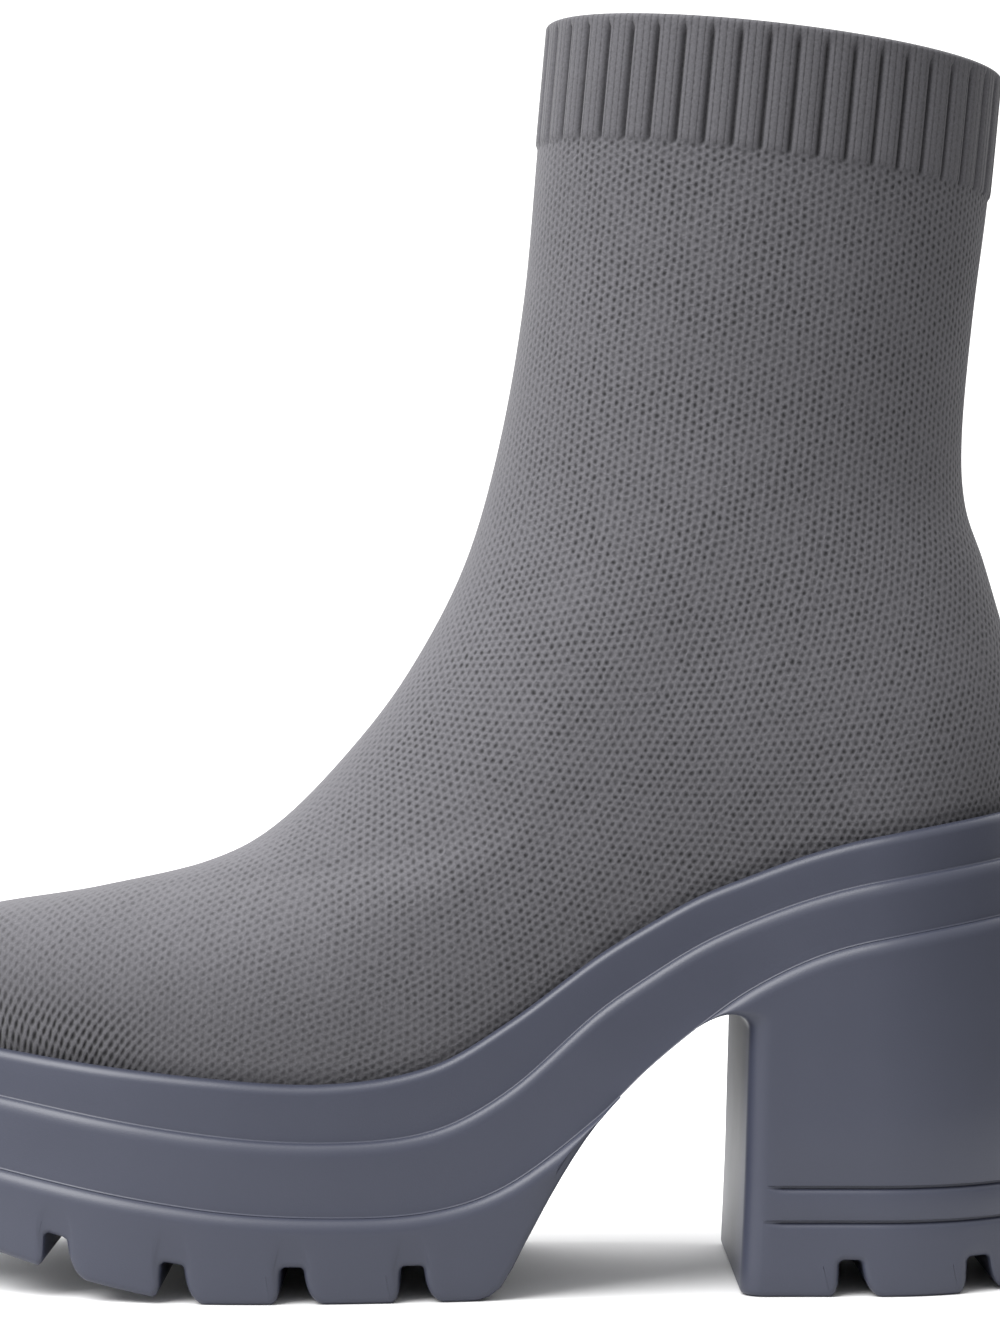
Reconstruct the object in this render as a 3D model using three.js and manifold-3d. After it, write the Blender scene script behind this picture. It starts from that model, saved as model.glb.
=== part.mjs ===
// A left sock boot on a chunky platform: a knitted sock upper with a ribbed cuff, a footbed,
// a stepped midsole, a lugged outsole, a block heel and its lugged top piece.
// Millimetres. The toe points along -X, the outer side faces -Y, and +Z is up from the floor.
import * as THREE from 'three';
import { mergeVertices } from 'three/addons/utils/BufferGeometryUtils.js';
import Module from 'manifold-3d';

// Sole
const LENGTH = 249;
const BALL_WIDTH = 96;
const FOREFOOT_RIM = 42.3;
const HEEL_RIM = 97;
const UPPER_BAND = 11.5;
const LOWER_BAND = 14;
const TOE_SPRING = 19;
const SPRING_START = 0.31;
const TOE_ROUND = 66;
const HEEL_ROUND = 40;
const LEDGE = 2;
const LEDGE_DROP = 2.3;
const LIP = 3;
const LIP_ROUND = 1.6;
const CUP_DEPTH = 6;
const SOLE_DRAFT = 1.2;
const SOLE_EDGE = 1.6;

// Tread
const CHANNEL_DEPTH = 7.2;
const CHANNEL_TOP = 4.6;
const CHANNEL_MOUTH = 10;
const FOREFOOT_PITCH = 23.6;
const HEEL_PITCH = 25.7;
const LAST_FOREFOOT_CHANNEL = 118.1;
const FIRST_HEEL_CHANNEL = 204.2;
const FOREFOOT_CHANNELS = 5;
const HEEL_CHANNELS = 2;

// Heel
const HEEL_BREAST = 184.3;
const BREAST_LEAN = 1.8;
const BREAST_FILLET = 5.5;
const BREAST_CORNER = 5;
const TOP_PIECE = 13.6;
const GROOVE = 1.5;
const GROOVE_DEPTH = 1.1;
const GROOVE_SPACING = 6.8;
const HEEL_TAPER = 0.6;

// Upper and footbed
const WALL = 2;
const COLLAR_FRONT = 256;
const COLLAR_BACK = 245;
const COLLAR_WIDTH = 75;
const ANKLE_WIDTH = 68;
const HEEL_CUP = 38;
const TOE_BLUNTNESS = 1;
const INSTEP_DEPTH = 50;
const CUFF_HEIGHT = 25.5;
const CUFF_STEP = 0.5;
const CUFF_HEM = 2;
const RIB_COUNT = 46;
const RIB_RELIEF = 0.9;
const RIB_GAP_SHARE = 0.3;
const FOOTBED = 4;
const FOOTBED_EDGE = 1;
const GAP = 0.3;
const SEAT_GAP = 0.45;

// Faceting
const SOLE_STATIONS = 54;
const HEEL_STATIONS = 12;
const EVEN_SPACING = 0.3;
const CORNER_STEPS = 3;
const UPPER_COLUMNS = 56;
const RINGS_PER_ROW = 1.6;
const PROFILE_STEPS = 10;

const CUP_INSET = 2 * LEDGE + LIP;
const UPPER_INSET = CUP_INSET + GAP;
const FOOTBED_INSET = UPPER_INSET + WALL + GAP;

// Half widths of the sole as shares of half the ball width, and where its middle line runs
const PLAN = [
  { along: 0.00, outer: 0.84, inner: 0.88, middle: 0.14 },
  { along: 0.12, outer: 0.90, inner: 0.95, middle: 0.10 },
  { along: 0.24, outer: 0.97, inner: 0.97, middle: 0.03 },
  { along: 0.34, outer: 1.00, inner: 0.93, middle: 0.00 },
  { along: 0.46, outer: 0.94, inner: 0.83, middle: -0.02 },
  { along: 0.60, outer: 0.84, inner: 0.75, middle: -0.01 },
  { along: 0.74, outer: 0.80, inner: 0.76, middle: 0.00 },
  { along: 0.88, outer: 0.80, inner: 0.79, middle: 0.00 },
  { along: 1.00, outer: 0.79, inner: 0.79, middle: 0.00 },
];

// The lines on the sole's side. The rim is a share of the rise from forefoot to heel, and the
// bands are shares of their own heights.
const SOLE_LINES = [
  { along: 0.00, rim: 0.196, upperBand: 0.78, lowerBand: 0.89 },
  { along: 0.15, rim: 0.102, upperBand: 0.81, lowerBand: 0.97 },
  { along: 0.31, rim: 0.022, upperBand: 0.957, lowerBand: 0.99 },
  { along: 0.41, rim: 0.000, upperBand: 0.99, lowerBand: 0.99 },
  { along: 0.49, rim: 0.062, upperBand: 1.10, lowerBand: 1.07 },
  { along: 0.55, rim: 0.216, upperBand: 1.165, lowerBand: 1.265 },
  { along: 0.62, rim: 0.448, upperBand: 0.957, lowerBand: 1.47 },
  { along: 0.70, rim: 0.660, upperBand: 0.835, lowerBand: 1.136 },
  { along: 0.74, rim: 0.733, upperBand: 0.78, lowerBand: 0.864 },
  { along: 0.84, rim: 0.874, upperBand: 0.78, lowerBand: 0.77 },
  { along: 1.00, rim: 1.000, upperBand: 0.81, lowerBand: 0.757 },
];

// The outsole's tail under the arch, as shares of the way from the floor up to the midsole
const ARCH = [
  { along: 0.300, rise: 0.00 },
  { along: 0.522, rise: 0.00 },
  { along: 0.543, rise: 0.11 },
  { along: 0.562, rise: 0.44 },
  { along: 0.581, rise: 0.70 },
  { along: 0.600, rise: 0.87 },
  { along: 0.619, rise: 0.975 },
];

// The upper's rings, from the rim of the sole up to the collar: how far along the sole each
// ring's front and back lie, and how far up from the rim to the collar.
const RINGS = [
  { front: 0.0293, frontUp: 0.0000, back: 0.9707, backUp: 0.0000 },
  { front: 0.0315, frontUp: 0.0280, back: 0.9739, backUp: 0.0336 },
  { front: 0.0450, frontUp: 0.0560, back: 0.9751, backUp: 0.0671 },
  { front: 0.0740, frontUp: 0.0835, back: 0.9747, backUp: 0.0973 },
  { front: 0.1240, frontUp: 0.1075, back: 0.9731, backUp: 0.1275 },
  { front: 0.2116, frontUp: 0.1287, back: 0.9707, backUp: 0.1577 },
  { front: 0.3020, frontUp: 0.1557, back: 0.9675, backUp: 0.1880 },
  { front: 0.3606, frontUp: 0.1965, back: 0.9635, backUp: 0.2148 },
  { front: 0.4245, frontUp: 0.2770, back: 0.9546, backUp: 0.2651 },
  { front: 0.4727, frontUp: 0.3580, back: 0.9422, backUp: 0.3356 },
  { front: 0.5149, frontUp: 0.4597, back: 0.9273, backUp: 0.4128 },
  { front: 0.5430, frontUp: 0.5810, back: 0.9249, backUp: 0.5101 },
  { front: 0.5627, frontUp: 0.7230, back: 0.9337, backUp: 0.6711 },
  { front: 0.5739, frontUp: 0.8750, back: 0.9458, backUp: 0.8270 },
  { front: 0.5831, frontUp: 1.0000, back: 0.9558, backUp: 1.0000 },
];
const CUFF_ROW = RINGS.length - 2;
const COLLAR_ROW = RINGS.length - 1;
const ANKLE_ROW = 11;
const SETTLED_ROW = 5;

const wasm = await Module();
wasm.setup();

const clamp = THREE.MathUtils.clamp;
const lerp = THREE.MathUtils.lerp;
const smooth = (value) => THREE.MathUtils.smoothstep(value, 0, 1);
const alongOf = (x) => x / LENGTH + 0.5;
const xOf = (along) => (along - 0.5) * LENGTH;

// A smooth curve through one column of a table, at a place given in its first column.
function follow(table, key, column, place) {
  const last = table.length - 2;
  let row = 0;
  while (row < last && table[row + 1][key] < place) {
    row += 1;
  }
  const low = table[row];
  const high = table[row + 1];
  const span = high[key] - low[key];
  const share = clamp((place - low[key]) / span, 0, 1);
  const slope = (index) => {
    const before = table[Math.max(index - 1, 0)];
    const after = table[Math.min(index + 1, table.length - 1)];
    return (after[column] - before[column]) / (after[key] - before[key]);
  };
  const cubic = share * share * share;
  const square = share * share;
  return (2 * cubic - 3 * square + 1) * low[column]
    + (cubic - 2 * square + share) * span * slope(row)
    + (3 * square - 2 * cubic) * high[column]
    + (cubic - square) * span * slope(row + 1);
}

// Quarter-ellipse rounding: 0 at the tip and 1 once the distance reaches the rounding length
function rounding(distance, length) {
  const left = 1 - clamp(distance / length, 0, 1);
  return Math.sqrt(Math.max(0, 1 - left * left));
}

// Half width of the sole's outline on one side, -1 for the outer side and 1 for the inner
function planHalf(side, along) {
  const column = side < 0 ? 'outer' : 'inner';
  return follow(PLAN, 'along', column, along) * BALL_WIDTH / 2;
}

function middleLine(along) {
  return follow(PLAN, 'along', 'middle', along) * BALL_WIDTH / 2;
}

// The outline seen from above at a turn around it: 0 at the toe, 0.5 at the heel's back, the
// outer side first.
function planPoint(turn) {
  const along = (1 - Math.cos(2 * Math.PI * turn)) / 2;
  const side = Math.sin(2 * Math.PI * turn) > 0 ? -1 : 1;
  const toe = rounding(along * LENGTH, TOE_ROUND);
  const heel = rounding((1 - along) * LENGTH, HEEL_ROUND);
  const half = planHalf(side, along) * toe * heel;
  return new THREE.Vector2(xOf(along), middleLine(along) + side * half);
}

// The outline moved inwards by a distance, at right angles to itself
function insetPoint(turn, inset) {
  const step = 0.002;
  const tangent = planPoint(turn + step).sub(planPoint(turn - step)).normalize();
  const point = planPoint(turn);
  return new THREE.Vector2(point.x - tangent.y * inset, point.y + tangent.x * inset);
}

const turnOf = (along) => Math.acos(clamp(1 - 2 * along, -1, 1)) / (2 * Math.PI);

// Heights of the sole's lines at a place along it
function rimAt(x) {
  return FOREFOOT_RIM + follow(SOLE_LINES, 'along', 'rim', alongOf(x)) * (HEEL_RIM - FOREFOOT_RIM);
}

function ledgeAt(x) {
  return rimAt(x) - follow(SOLE_LINES, 'along', 'upperBand', alongOf(x)) * UPPER_BAND;
}

function undersideAt(x) {
  return ledgeAt(x) - follow(SOLE_LINES, 'along', 'lowerBand', alongOf(x)) * LOWER_BAND;
}

function cupFloorAt(x) {
  return rimAt(x) - CUP_DEPTH;
}

function groundAt(x) {
  return TOE_SPRING * Math.max(0, 1 - alongOf(x) / SPRING_START);
}

// How steeply the ground line rises towards the toe
function groundTilt(x) {
  const spring = alongOf(x) < SPRING_START ? TOE_SPRING / (SPRING_START * LENGTH) : 0;
  return Math.atan(spring);
}

function outsoleBottomAt(x) {
  const ground = groundAt(x);
  const rise = clamp(follow(ARCH, 'along', 'rise', alongOf(x)), 0, 1);
  return lerp(ground, undersideAt(x), rise);
}

// A mesh from points and triangles, turned so that its faces point out
function bodyFrom(points, triangles) {
  const flat = points.flatMap((point) => [point.x, point.y, point.z]);
  let volume = 0;
  for (const [a, b, c] of triangles) {
    volume += points[a].dot(points[b].clone().cross(points[c]));
  }
  const order = volume > 0 ? triangles : triangles.map(([a, b, c]) => [a, c, b]);
  const geometry = new THREE.BufferGeometry();
  geometry.setAttribute('position', new THREE.Float32BufferAttribute(flat, 3));
  geometry.setIndex(order.flat());
  return geometry;
}

// A solid from rings of paired stations, each ring holding as many outer as inner points.
// The rings run from the top face over the side wall to the bottom face.
function slab(rings, pointedFront) {
  const last = rings[0].outer.length - 1;
  const firstInner = pointedFront ? 1 : 0;
  const size = 2 * last + 1 - firstInner;
  const points = [];
  for (const ring of rings) {
    const back = ring.inner.slice(firstInner, last).reverse();
    points.push(...ring.outer, ...back);
  }
  const innerIndex = (station) => (station < firstInner ? 0 : 2 * last - station);
  const triangles = [];
  for (let level = 0; level + 1 < rings.length; level += 1) {
    for (let k = 0; k < size; k += 1) {
      const a = level * size + k;
      const b = level * size + (k + 1) % size;
      triangles.push([a, b, a + size], [b, b + size, a + size]);
    }
  }
  const base = (rings.length - 1) * size;
  for (let station = 0; station < last; station += 1) {
    const quad = [station, station + 1, innerIndex(station + 1), innerIndex(station)];
    for (const [a, b, c] of [[quad[0], quad[2], quad[1]], [quad[0], quad[3], quad[2]]]) {
      if (a !== b && b !== c && a !== c) {
        triangles.push([a, b, c], [base + a, base + c, base + b]);
      }
    }
  }
  return bodyFrom(points, triangles);
}

// One ring of the sole between two places along it
function soleRing(from, to, inset, heightAt) {
  const outer = [];
  const inner = [];
  for (let station = 0; station <= SOLE_STATIONS; station += 1) {
    const share = station / SOLE_STATIONS;
    const round = turnOf(lerp(from, to, share));
    const turn = lerp(lerp(turnOf(from), turnOf(to), share), round, EVEN_SPACING);
    const near = insetPoint(turn, inset);
    const far = insetPoint(1 - turn, inset);
    outer.push(new THREE.Vector3(near.x, near.y, heightAt(near.x)));
    inner.push(new THREE.Vector3(far.x, far.y, heightAt(far.x)));
  }
  return { outer, inner };
}

// The midsole: a cup for the upper, a rounded lip, the upper band, a sloping ledge with a
// round shoulder, and the lower band down to the underside.
function makeMidsole() {
  const band = 2 * LEDGE;
  const drop = (heightAt, amount) => (x) => heightAt(x) - amount;
  const levels = [
    [CUP_INSET, cupFloorAt],
    [CUP_INSET, drop(rimAt, LIP_ROUND / 2)],
    [CUP_INSET - LIP_ROUND / 2, rimAt],
    [band + LIP_ROUND / 2, rimAt],
    [band, drop(rimAt, LIP_ROUND)],
    [band - LEDGE / 8, ledgeAt],
    [band - LEDGE / 2, drop(ledgeAt, LEDGE_DROP / 4)],
    [LEDGE, drop(ledgeAt, LEDGE_DROP)],
    [LEDGE, drop(undersideAt, -SOLE_EDGE / 2)],
    [LEDGE + SOLE_EDGE / 2, undersideAt],
  ];
  return slab(levels.map(([inset, heightAt]) => soleRing(0, 1, inset, heightAt)), true);
}

function makeFootbed() {
  const rise = (amount) => (x) => cupFloorAt(x) + GAP + amount;
  const levels = [
    [FOOTBED_INSET + FOOTBED_EDGE, rise(FOOTBED)],
    [FOOTBED_INSET, rise(FOOTBED - FOOTBED_EDGE)],
    [FOOTBED_INSET, rise(0)],
  ];
  return slab(levels.map(([inset, heightAt]) => soleRing(0, 1, inset, heightAt)), true);
}

// A closed solid for manifold-3d from a three.js geometry
function solidOf(geometry) {
  const bare = geometry.clone();
  bare.deleteAttribute('normal');
  bare.deleteAttribute('uv');
  const merged = mergeVertices(bare, 1e-4);
  const vertProperties = new Float32Array(merged.attributes.position.array);
  const triVerts = new Uint32Array(merged.index.array);
  return new wasm.Manifold(new wasm.Mesh({ numProp: 3, vertProperties, triVerts }));
}

function geometryOf(solid) {
  const mesh = solid.getMesh();
  const geometry = new THREE.BufferGeometry();
  geometry.setAttribute('position', new THREE.Float32BufferAttribute(mesh.vertProperties, 3));
  geometry.setIndex(Array.from(mesh.triVerts));
  return geometry;
}

// A cutter for one tread channel across the sole: a round top and a mouth that flares out
function channelCutter(x, tilt) {
  const top = CHANNEL_TOP / 2;
  const mouth = CHANNEL_MOUTH / 2;
  const shape = new THREE.Shape();
  shape.moveTo(-mouth, -CHANNEL_DEPTH);
  shape.lineTo(mouth, -CHANNEL_DEPTH);
  shape.lineTo(mouth, 0);
  shape.quadraticCurveTo(top, CHANNEL_DEPTH * 0.15, top, CHANNEL_DEPTH * 0.5);
  shape.lineTo(top, CHANNEL_DEPTH - top / 2);
  shape.quadraticCurveTo(top, CHANNEL_DEPTH, 0, CHANNEL_DEPTH);
  shape.quadraticCurveTo(-top, CHANNEL_DEPTH, -top, CHANNEL_DEPTH - top / 2);
  shape.lineTo(-top, CHANNEL_DEPTH * 0.5);
  shape.quadraticCurveTo(-top, CHANNEL_DEPTH * 0.15, -mouth, 0);
  const depth = BALL_WIDTH * 1.2;
  const cutter = new THREE.ExtrudeGeometry(shape, { depth, bevelEnabled: false, curveSegments: 3 });
  cutter.rotateX(Math.PI / 2);
  cutter.translate(0, depth / 2, 0);
  cutter.rotateY(tilt);
  cutter.translate(x, 0, groundAt(x));
  return solidOf(cutter);
}

function withChannels(geometry, places) {
  let solid = solidOf(geometry);
  for (const x of places) {
    solid = solid.subtract(channelCutter(x, groundTilt(x)));
  }
  return geometryOf(solid);
}

// The outsole: the lug block under the forefoot, one step further out than the midsole, with
// a tail that runs out under the arch.
function makeOutsole() {
  const tail = ARCH[ARCH.length - 1].along;
  const below = (amount) => (x) => undersideAt(x) - SEAT_GAP - amount;
  const above = (amount) => (x) => {
    const bottom = outsoleBottomAt(x);
    return Math.min(bottom + amount, lerp(bottom, undersideAt(x) - SEAT_GAP, 0.5));
  };
  const shoulder = (x) => Math.max(below(LEDGE_DROP)(x), above(2 * SOLE_EDGE)(x));
  const levels = [
    [LEDGE, below(0)],
    [LEDGE / 2, (x) => Math.max(below(LEDGE_DROP / 4)(x), shoulder(x))],
    [0, shoulder],
    [SOLE_DRAFT / 2, above(SOLE_EDGE)],
    [SOLE_DRAFT / 2 + SOLE_EDGE, outsoleBottomAt],
  ];
  const rings = levels.map(([inset, heightAt]) => soleRing(0, tail, inset, heightAt));
  const places = [];
  for (let index = 0; index < FOREFOOT_CHANNELS; index += 1) {
    places.push(LAST_FOREFOOT_CHANNEL - index * FOREFOOT_PITCH - LENGTH / 2);
  }
  return withChannels(slab(rings, true), places);
}

// One ring of the heel: a flat breast with round corners, then the sole's outline round the back
function heelRing(breast, inset, heightAt) {
  const outer = [];
  const inner = [];
  const place = (list, side, x, y) => list.push(new THREE.Vector3(x, side * y, heightAt(x)));
  const sideAt = (side, x) => {
    const turn = turnOf(alongOf(x));
    return side * insetPoint(side < 0 ? turn : 1 - turn, inset).y;
  };
  const start = breast + BREAST_CORNER;
  for (const [list, side] of [[outer, -1], [inner, 1]]) {
    const edge = sideAt(side, start);
    for (let step = 0; step <= CORNER_STEPS; step += 1) {
      const angle = (Math.PI / 2) * (step / CORNER_STEPS);
      const y = edge - BREAST_CORNER * (1 - Math.sin(angle));
      place(list, side, start - BREAST_CORNER * Math.cos(angle), y);
    }
    const from = turnOf(alongOf(start));
    for (let station = 1; station <= HEEL_STATIONS; station += 1) {
      const turn = lerp(from, 0.5, station / HEEL_STATIONS);
      const point = insetPoint(side < 0 ? turn : 1 - turn, inset);
      list.push(new THREE.Vector3(point.x, point.y, heightAt(point.x)));
    }
  }
  return { outer, inner };
}

// The heel's breast leans back a little from bottom to top and sweeps forward under the arch
function breastAt(height) {
  const x = HEEL_BREAST - LENGTH / 2;
  return x - BREAST_LEAN * (1 - clamp(height / FOREFOOT_RIM, 0, 1));
}

const jointHeight = TOP_PIECE + GROOVE;

// The block heel with its upper groove
function makeHeel() {
  const breast = HEEL_BREAST - LENGTH / 2;
  const below = (amount) => (x) => undersideAt(x) - SEAT_GAP - amount;
  const flat = (height) => () => height;
  const grooveTop = jointHeight + GROOVE_SPACING;
  const levels = [
    [breast - BREAST_FILLET, LEDGE, below(0)],
    [breast - BREAST_FILLET * 0.4, LEDGE / 2, below(LEDGE_DROP / 2)],
    [breast - BREAST_FILLET * 0.1, 0, below(LEDGE_DROP * 1.2)],
    [breast, 0, below(LEDGE_DROP + BREAST_FILLET)],
    [breastAt(grooveTop), HEEL_TAPER, flat(grooveTop)],
    [breastAt(grooveTop), HEEL_TAPER + GROOVE_DEPTH, flat(grooveTop - GROOVE * 0.2)],
    [breastAt(grooveTop), HEEL_TAPER + GROOVE_DEPTH, flat(grooveTop - GROOVE * 0.8)],
    [breastAt(grooveTop), HEEL_TAPER, flat(grooveTop - GROOVE)],
    [breastAt(jointHeight), HEEL_TAPER, flat(jointHeight + GAP)],
  ];
  return slab(levels.map((level) => heelRing(...level)), false);
}

// The heel's top piece: a groove under the block, then two channels cut up from the floor
function makeTopPiece() {
  const flat = (height) => () => height;
  const front = breastAt(0);
  const levels = [
    [front, HEEL_TAPER + GROOVE_DEPTH, flat(jointHeight)],
    [front, HEEL_TAPER + GROOVE_DEPTH, flat(TOP_PIECE)],
    [front, HEEL_TAPER, flat(TOP_PIECE - GROOVE * 0.2)],
    [front, HEEL_TAPER, flat(SOLE_EDGE)],
    [front + SOLE_EDGE, HEEL_TAPER + SOLE_EDGE, flat(0)],
  ];
  const rings = levels.map((level) => heelRing(...level));
  const places = [];
  for (let index = 0; index < HEEL_CHANNELS; index += 1) {
    places.push(FIRST_HEEL_CHANNEL + index * HEEL_PITCH - LENGTH / 2);
  }
  return withChannels(slab(rings, false), places);
}

// The table of rings with the cuff's lower edge set by the cuff's height
const toeRim = rimAt(xOf(RINGS[0].front));
const heelRim = rimAt(xOf(RINGS[0].back));
const ringTable = RINGS.map((row, index) => ({ ...row, index }));
ringTable[CUFF_ROW].frontUp = 1 - CUFF_HEIGHT / (COLLAR_FRONT - toeRim);
ringTable[CUFF_ROW].backUp = 1 - CUFF_HEIGHT / (COLLAR_BACK - heelRim);

// Front and back ends of the upper's ring at a row of the table, whole or in between
function ringEnds(row) {
  const at = (column) => follow(ringTable, 'index', column, row);
  const front = xOf(at('front'));
  const back = xOf(at('back'));
  return {
    front: new THREE.Vector2(front, lerp(toeRim, COLLAR_FRONT, at('frontUp'))),
    back: new THREE.Vector2(back, lerp(heelRim, COLLAR_BACK, at('backUp'))),
  };
}

const frontProfile = [];
const backProfile = [];
for (let step = 0; step <= COLLAR_ROW * PROFILE_STEPS; step += 1) {
  const ends = ringEnds(step / PROFILE_STEPS);
  frontProfile.push(ends.front);
  backProfile.push(ends.back);
}

// Where a profile crosses a value of one coordinate, as the other coordinate
function crossing(profile, from, to, value) {
  for (let index = 1; index < profile.length; index += 1) {
    const low = profile[index - 1];
    const high = profile[index];
    if (high[from] >= value) {
      const span = high[from] - low[from];
      const share = span > 0 ? clamp((value - low[from]) / span, 0, 1) : 1;
      return lerp(low[to], high[to], share);
    }
  }
  return null;
}

// How far a point of the side view lies inside the top and front of the upper
function clearance(x, z) {
  const top = crossing(frontProfile, 'x', 'y', x);
  const behind = Math.max(0, x - crossing(frontProfile, 'y', 'x', Math.min(z, COLLAR_FRONT)));
  if (top === null) {
    return behind;
  }
  const under = Math.max(0, top - z);
  const length = Math.hypot(under, behind);
  return length > 0 ? under * behind / length : 0;
}

// The outer face of the upper, before the cuff, at a row and a turn around it
function upperFace(row, turn) {
  const ends = ringEnds(row);
  const share = (1 - Math.cos(2 * Math.PI * turn)) / 2;
  const side = Math.sin(2 * Math.PI * turn) > 0 ? -1 : 1;
  const x = lerp(ends.front.x, ends.back.x, share);
  const sag = rimAt(x) - lerp(rimAt(ends.front.x), rimAt(ends.back.x), share);
  const settle = 1 - clamp(row / ANKLE_ROW, 0, 1);
  const z = lerp(ends.front.y, ends.back.y, share) + sag * settle * settle;
  const chord = ends.back.x - ends.front.x;
  const reach = Math.min(chord / 2, INSTEP_DEPTH);
  const full = Math.max(1e-6, Math.min(clearance(x, rimAt(x)), reach));
  const level = rounding(share * chord, reach);
  const front = lerp(rounding(clearance(x, z), full), level, smooth(row / ANKLE_ROW - 0.3));
  const heelDepth = Math.min(reach, lerp(HEEL_CUP, reach, row / ANKLE_ROW));
  const back = rounding((1 - share) * chord, heelDepth);
  const along = clamp(alongOf(x), 0, 1);
  const toe = rounding((along - RINGS[0].front) * LENGTH + TOE_BLUNTNESS, TOE_ROUND);
  const foot = (planHalf(side, along) - UPPER_INSET) * lerp(toe, 1, smooth(row / ANKLE_ROW));
  const above = (row - ANKLE_ROW) / (COLLAR_ROW - ANKLE_ROW);
  const shaft = lerp(ANKLE_WIDTH, COLLAR_WIDTH, clamp(above, 0, 1)) / 2;
  const half = lerp(foot, shaft, smooth(row / ANKLE_ROW)) * front * back;
  const middle = middleLine(along) * (1 - smooth(row / ANKLE_ROW));
  const free = new THREE.Vector3(x, middle + side * half, z);
  const seat = insetPoint(turn, UPPER_INSET);
  const seated = new THREE.Vector3(seat.x, seat.y, rimAt(seat.x) + z - rimAt(x));
  return seated.lerp(free, smooth(row / SETTLED_ROW));
}

// A point inside the wall, measured inwards from the outer face
function upperPoint(row, turn, depth) {
  const stepRow = 0.05;
  const stepTurn = 0.004;
  const up = upperFace(Math.min(row + stepRow, COLLAR_ROW), turn)
    .sub(upperFace(Math.max(row - stepRow, 0), turn));
  const round = upperFace(row, turn + stepTurn).sub(upperFace(row, turn - stepTurn));
  const inward = up.cross(round).normalize();
  return upperFace(row, turn).addScaledVector(inward, depth);
}

function plainLoop(row, depth) {
  const loop = [];
  for (let column = 0; column < UPPER_COLUMNS; column += 1) {
    const turn = column / UPPER_COLUMNS;
    loop.push({ turn, point: upperPoint(row, turn, depth) });
  }
  return loop;
}

// A loop of the cuff: each rib is a flat face between two grooves
function ribbedLoop(row, relief, step) {
  const loop = [];
  for (let rib = 0; rib < RIB_COUNT; rib += 1) {
    for (const [place, depth] of [[0, relief], [RIB_GAP_SHARE / 2, 0], [1 - RIB_GAP_SHARE / 2, 0]]) {
      const turn = (rib + place) / RIB_COUNT;
      loop.push({ turn, point: upperPoint(row, turn, depth - step) });
    }
  }
  return loop;
}

// Triangles between two loops that may hold different numbers of points
function sew(triangles, low, high, lowStart, highStart) {
  let a = 0;
  let b = 0;
  const turnAfter = (loop, index) => (index + 1 < loop.length ? loop[index + 1].turn : 1);
  while (a < low.length || b < high.length) {
    const useLow = b >= high.length || (a < low.length && turnAfter(low, a) <= turnAfter(high, b));
    const lowIndex = lowStart + a % low.length;
    const highIndex = highStart + b % high.length;
    if (useLow) {
      triangles.push([lowIndex, lowStart + (a + 1) % low.length, highIndex]);
      a += 1;
    } else {
      triangles.push([lowIndex, highStart + (b + 1) % high.length, highIndex]);
      b += 1;
    }
  }
}

// The knitted upper: one hollow shell, open at the collar and underneath
function makeUpper() {
  const seat = (loop) => loop.map(({ turn, point }) => {
    const low = new THREE.Vector3(point.x, point.y, cupFloorAt(point.x) + GAP);
    return { turn, point: low };
  });
  const rows = [];
  const rowCount = Math.round(CUFF_ROW * RINGS_PER_ROW);
  for (let index = 0; index < rowCount; index += 1) {
    rows.push(index * CUFF_ROW / rowCount);
  }
  const rowBelowCollar = (amount) => COLLAR_ROW - amount / CUFF_HEIGHT;
  const outside = [seat(plainLoop(0, 0)), ...rows.map((row) => plainLoop(row, 0))];
  const cuff = [
    ribbedLoop(CUFF_ROW, 0, 0),
    ribbedLoop(CUFF_ROW + 2 * CUFF_STEP / CUFF_HEIGHT, RIB_RELIEF, CUFF_STEP),
    ribbedLoop(rowBelowCollar(CUFF_HEM), RIB_RELIEF, CUFF_STEP),
    ribbedLoop(rowBelowCollar(CUFF_HEM / 2), 0, CUFF_STEP),
    ribbedLoop(COLLAR_ROW, 0, -WALL / 3),
  ];
  const inside = [COLLAR_ROW, CUFF_ROW, ...rows.slice().reverse()].map((row) => plainLoop(row, WALL));
  const loops = [...outside, ...cuff, ...inside, seat(plainLoop(0, WALL))];
  const starts = [];
  const points = [];
  for (const loop of loops) {
    starts.push(points.length);
    points.push(...loop.map(({ point }) => point));
  }
  const triangles = [];
  for (let index = 0; index < loops.length; index += 1) {
    const next = (index + 1) % loops.length;
    sew(triangles, loops[index], loops[next], starts[index], starts[next]);
  }
  return bodyFrom(points, triangles);
}

const knit = new THREE.MeshStandardMaterial({ color: 0x706f74, roughness: 0.9, metalness: 0 });
const rubber = new THREE.MeshStandardMaterial({ color: 0x60626f, roughness: 0.5, metalness: 0 });
const board = new THREE.MeshStandardMaterial({ color: 0x5c5c60, roughness: 0.85, metalness: 0 });

const boot = new THREE.Group();
const pieces = [
  ['upper', makeUpper(), knit],
  ['insole', makeFootbed(), board],
  ['midsole', makeMidsole(), rubber],
  ['outsole', makeOutsole(), rubber],
  ['heel', makeHeel(), rubber],
  ['heel_top_piece', makeTopPiece(), rubber],
];
for (const [name, geometry, material] of pieces) {
  geometry.computeVertexNormals();
  const mesh = new THREE.Mesh(geometry, material);
  mesh.name = name;
  boot.add(mesh);
}

export default boot;
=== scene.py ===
"""A left sock boot on a platform: knitted upper with a ribbed cuff, footbed and moulded sole."""

import logging
import math
from dataclasses import dataclass
from enum import Enum
from typing import Callable, NamedTuple

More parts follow.
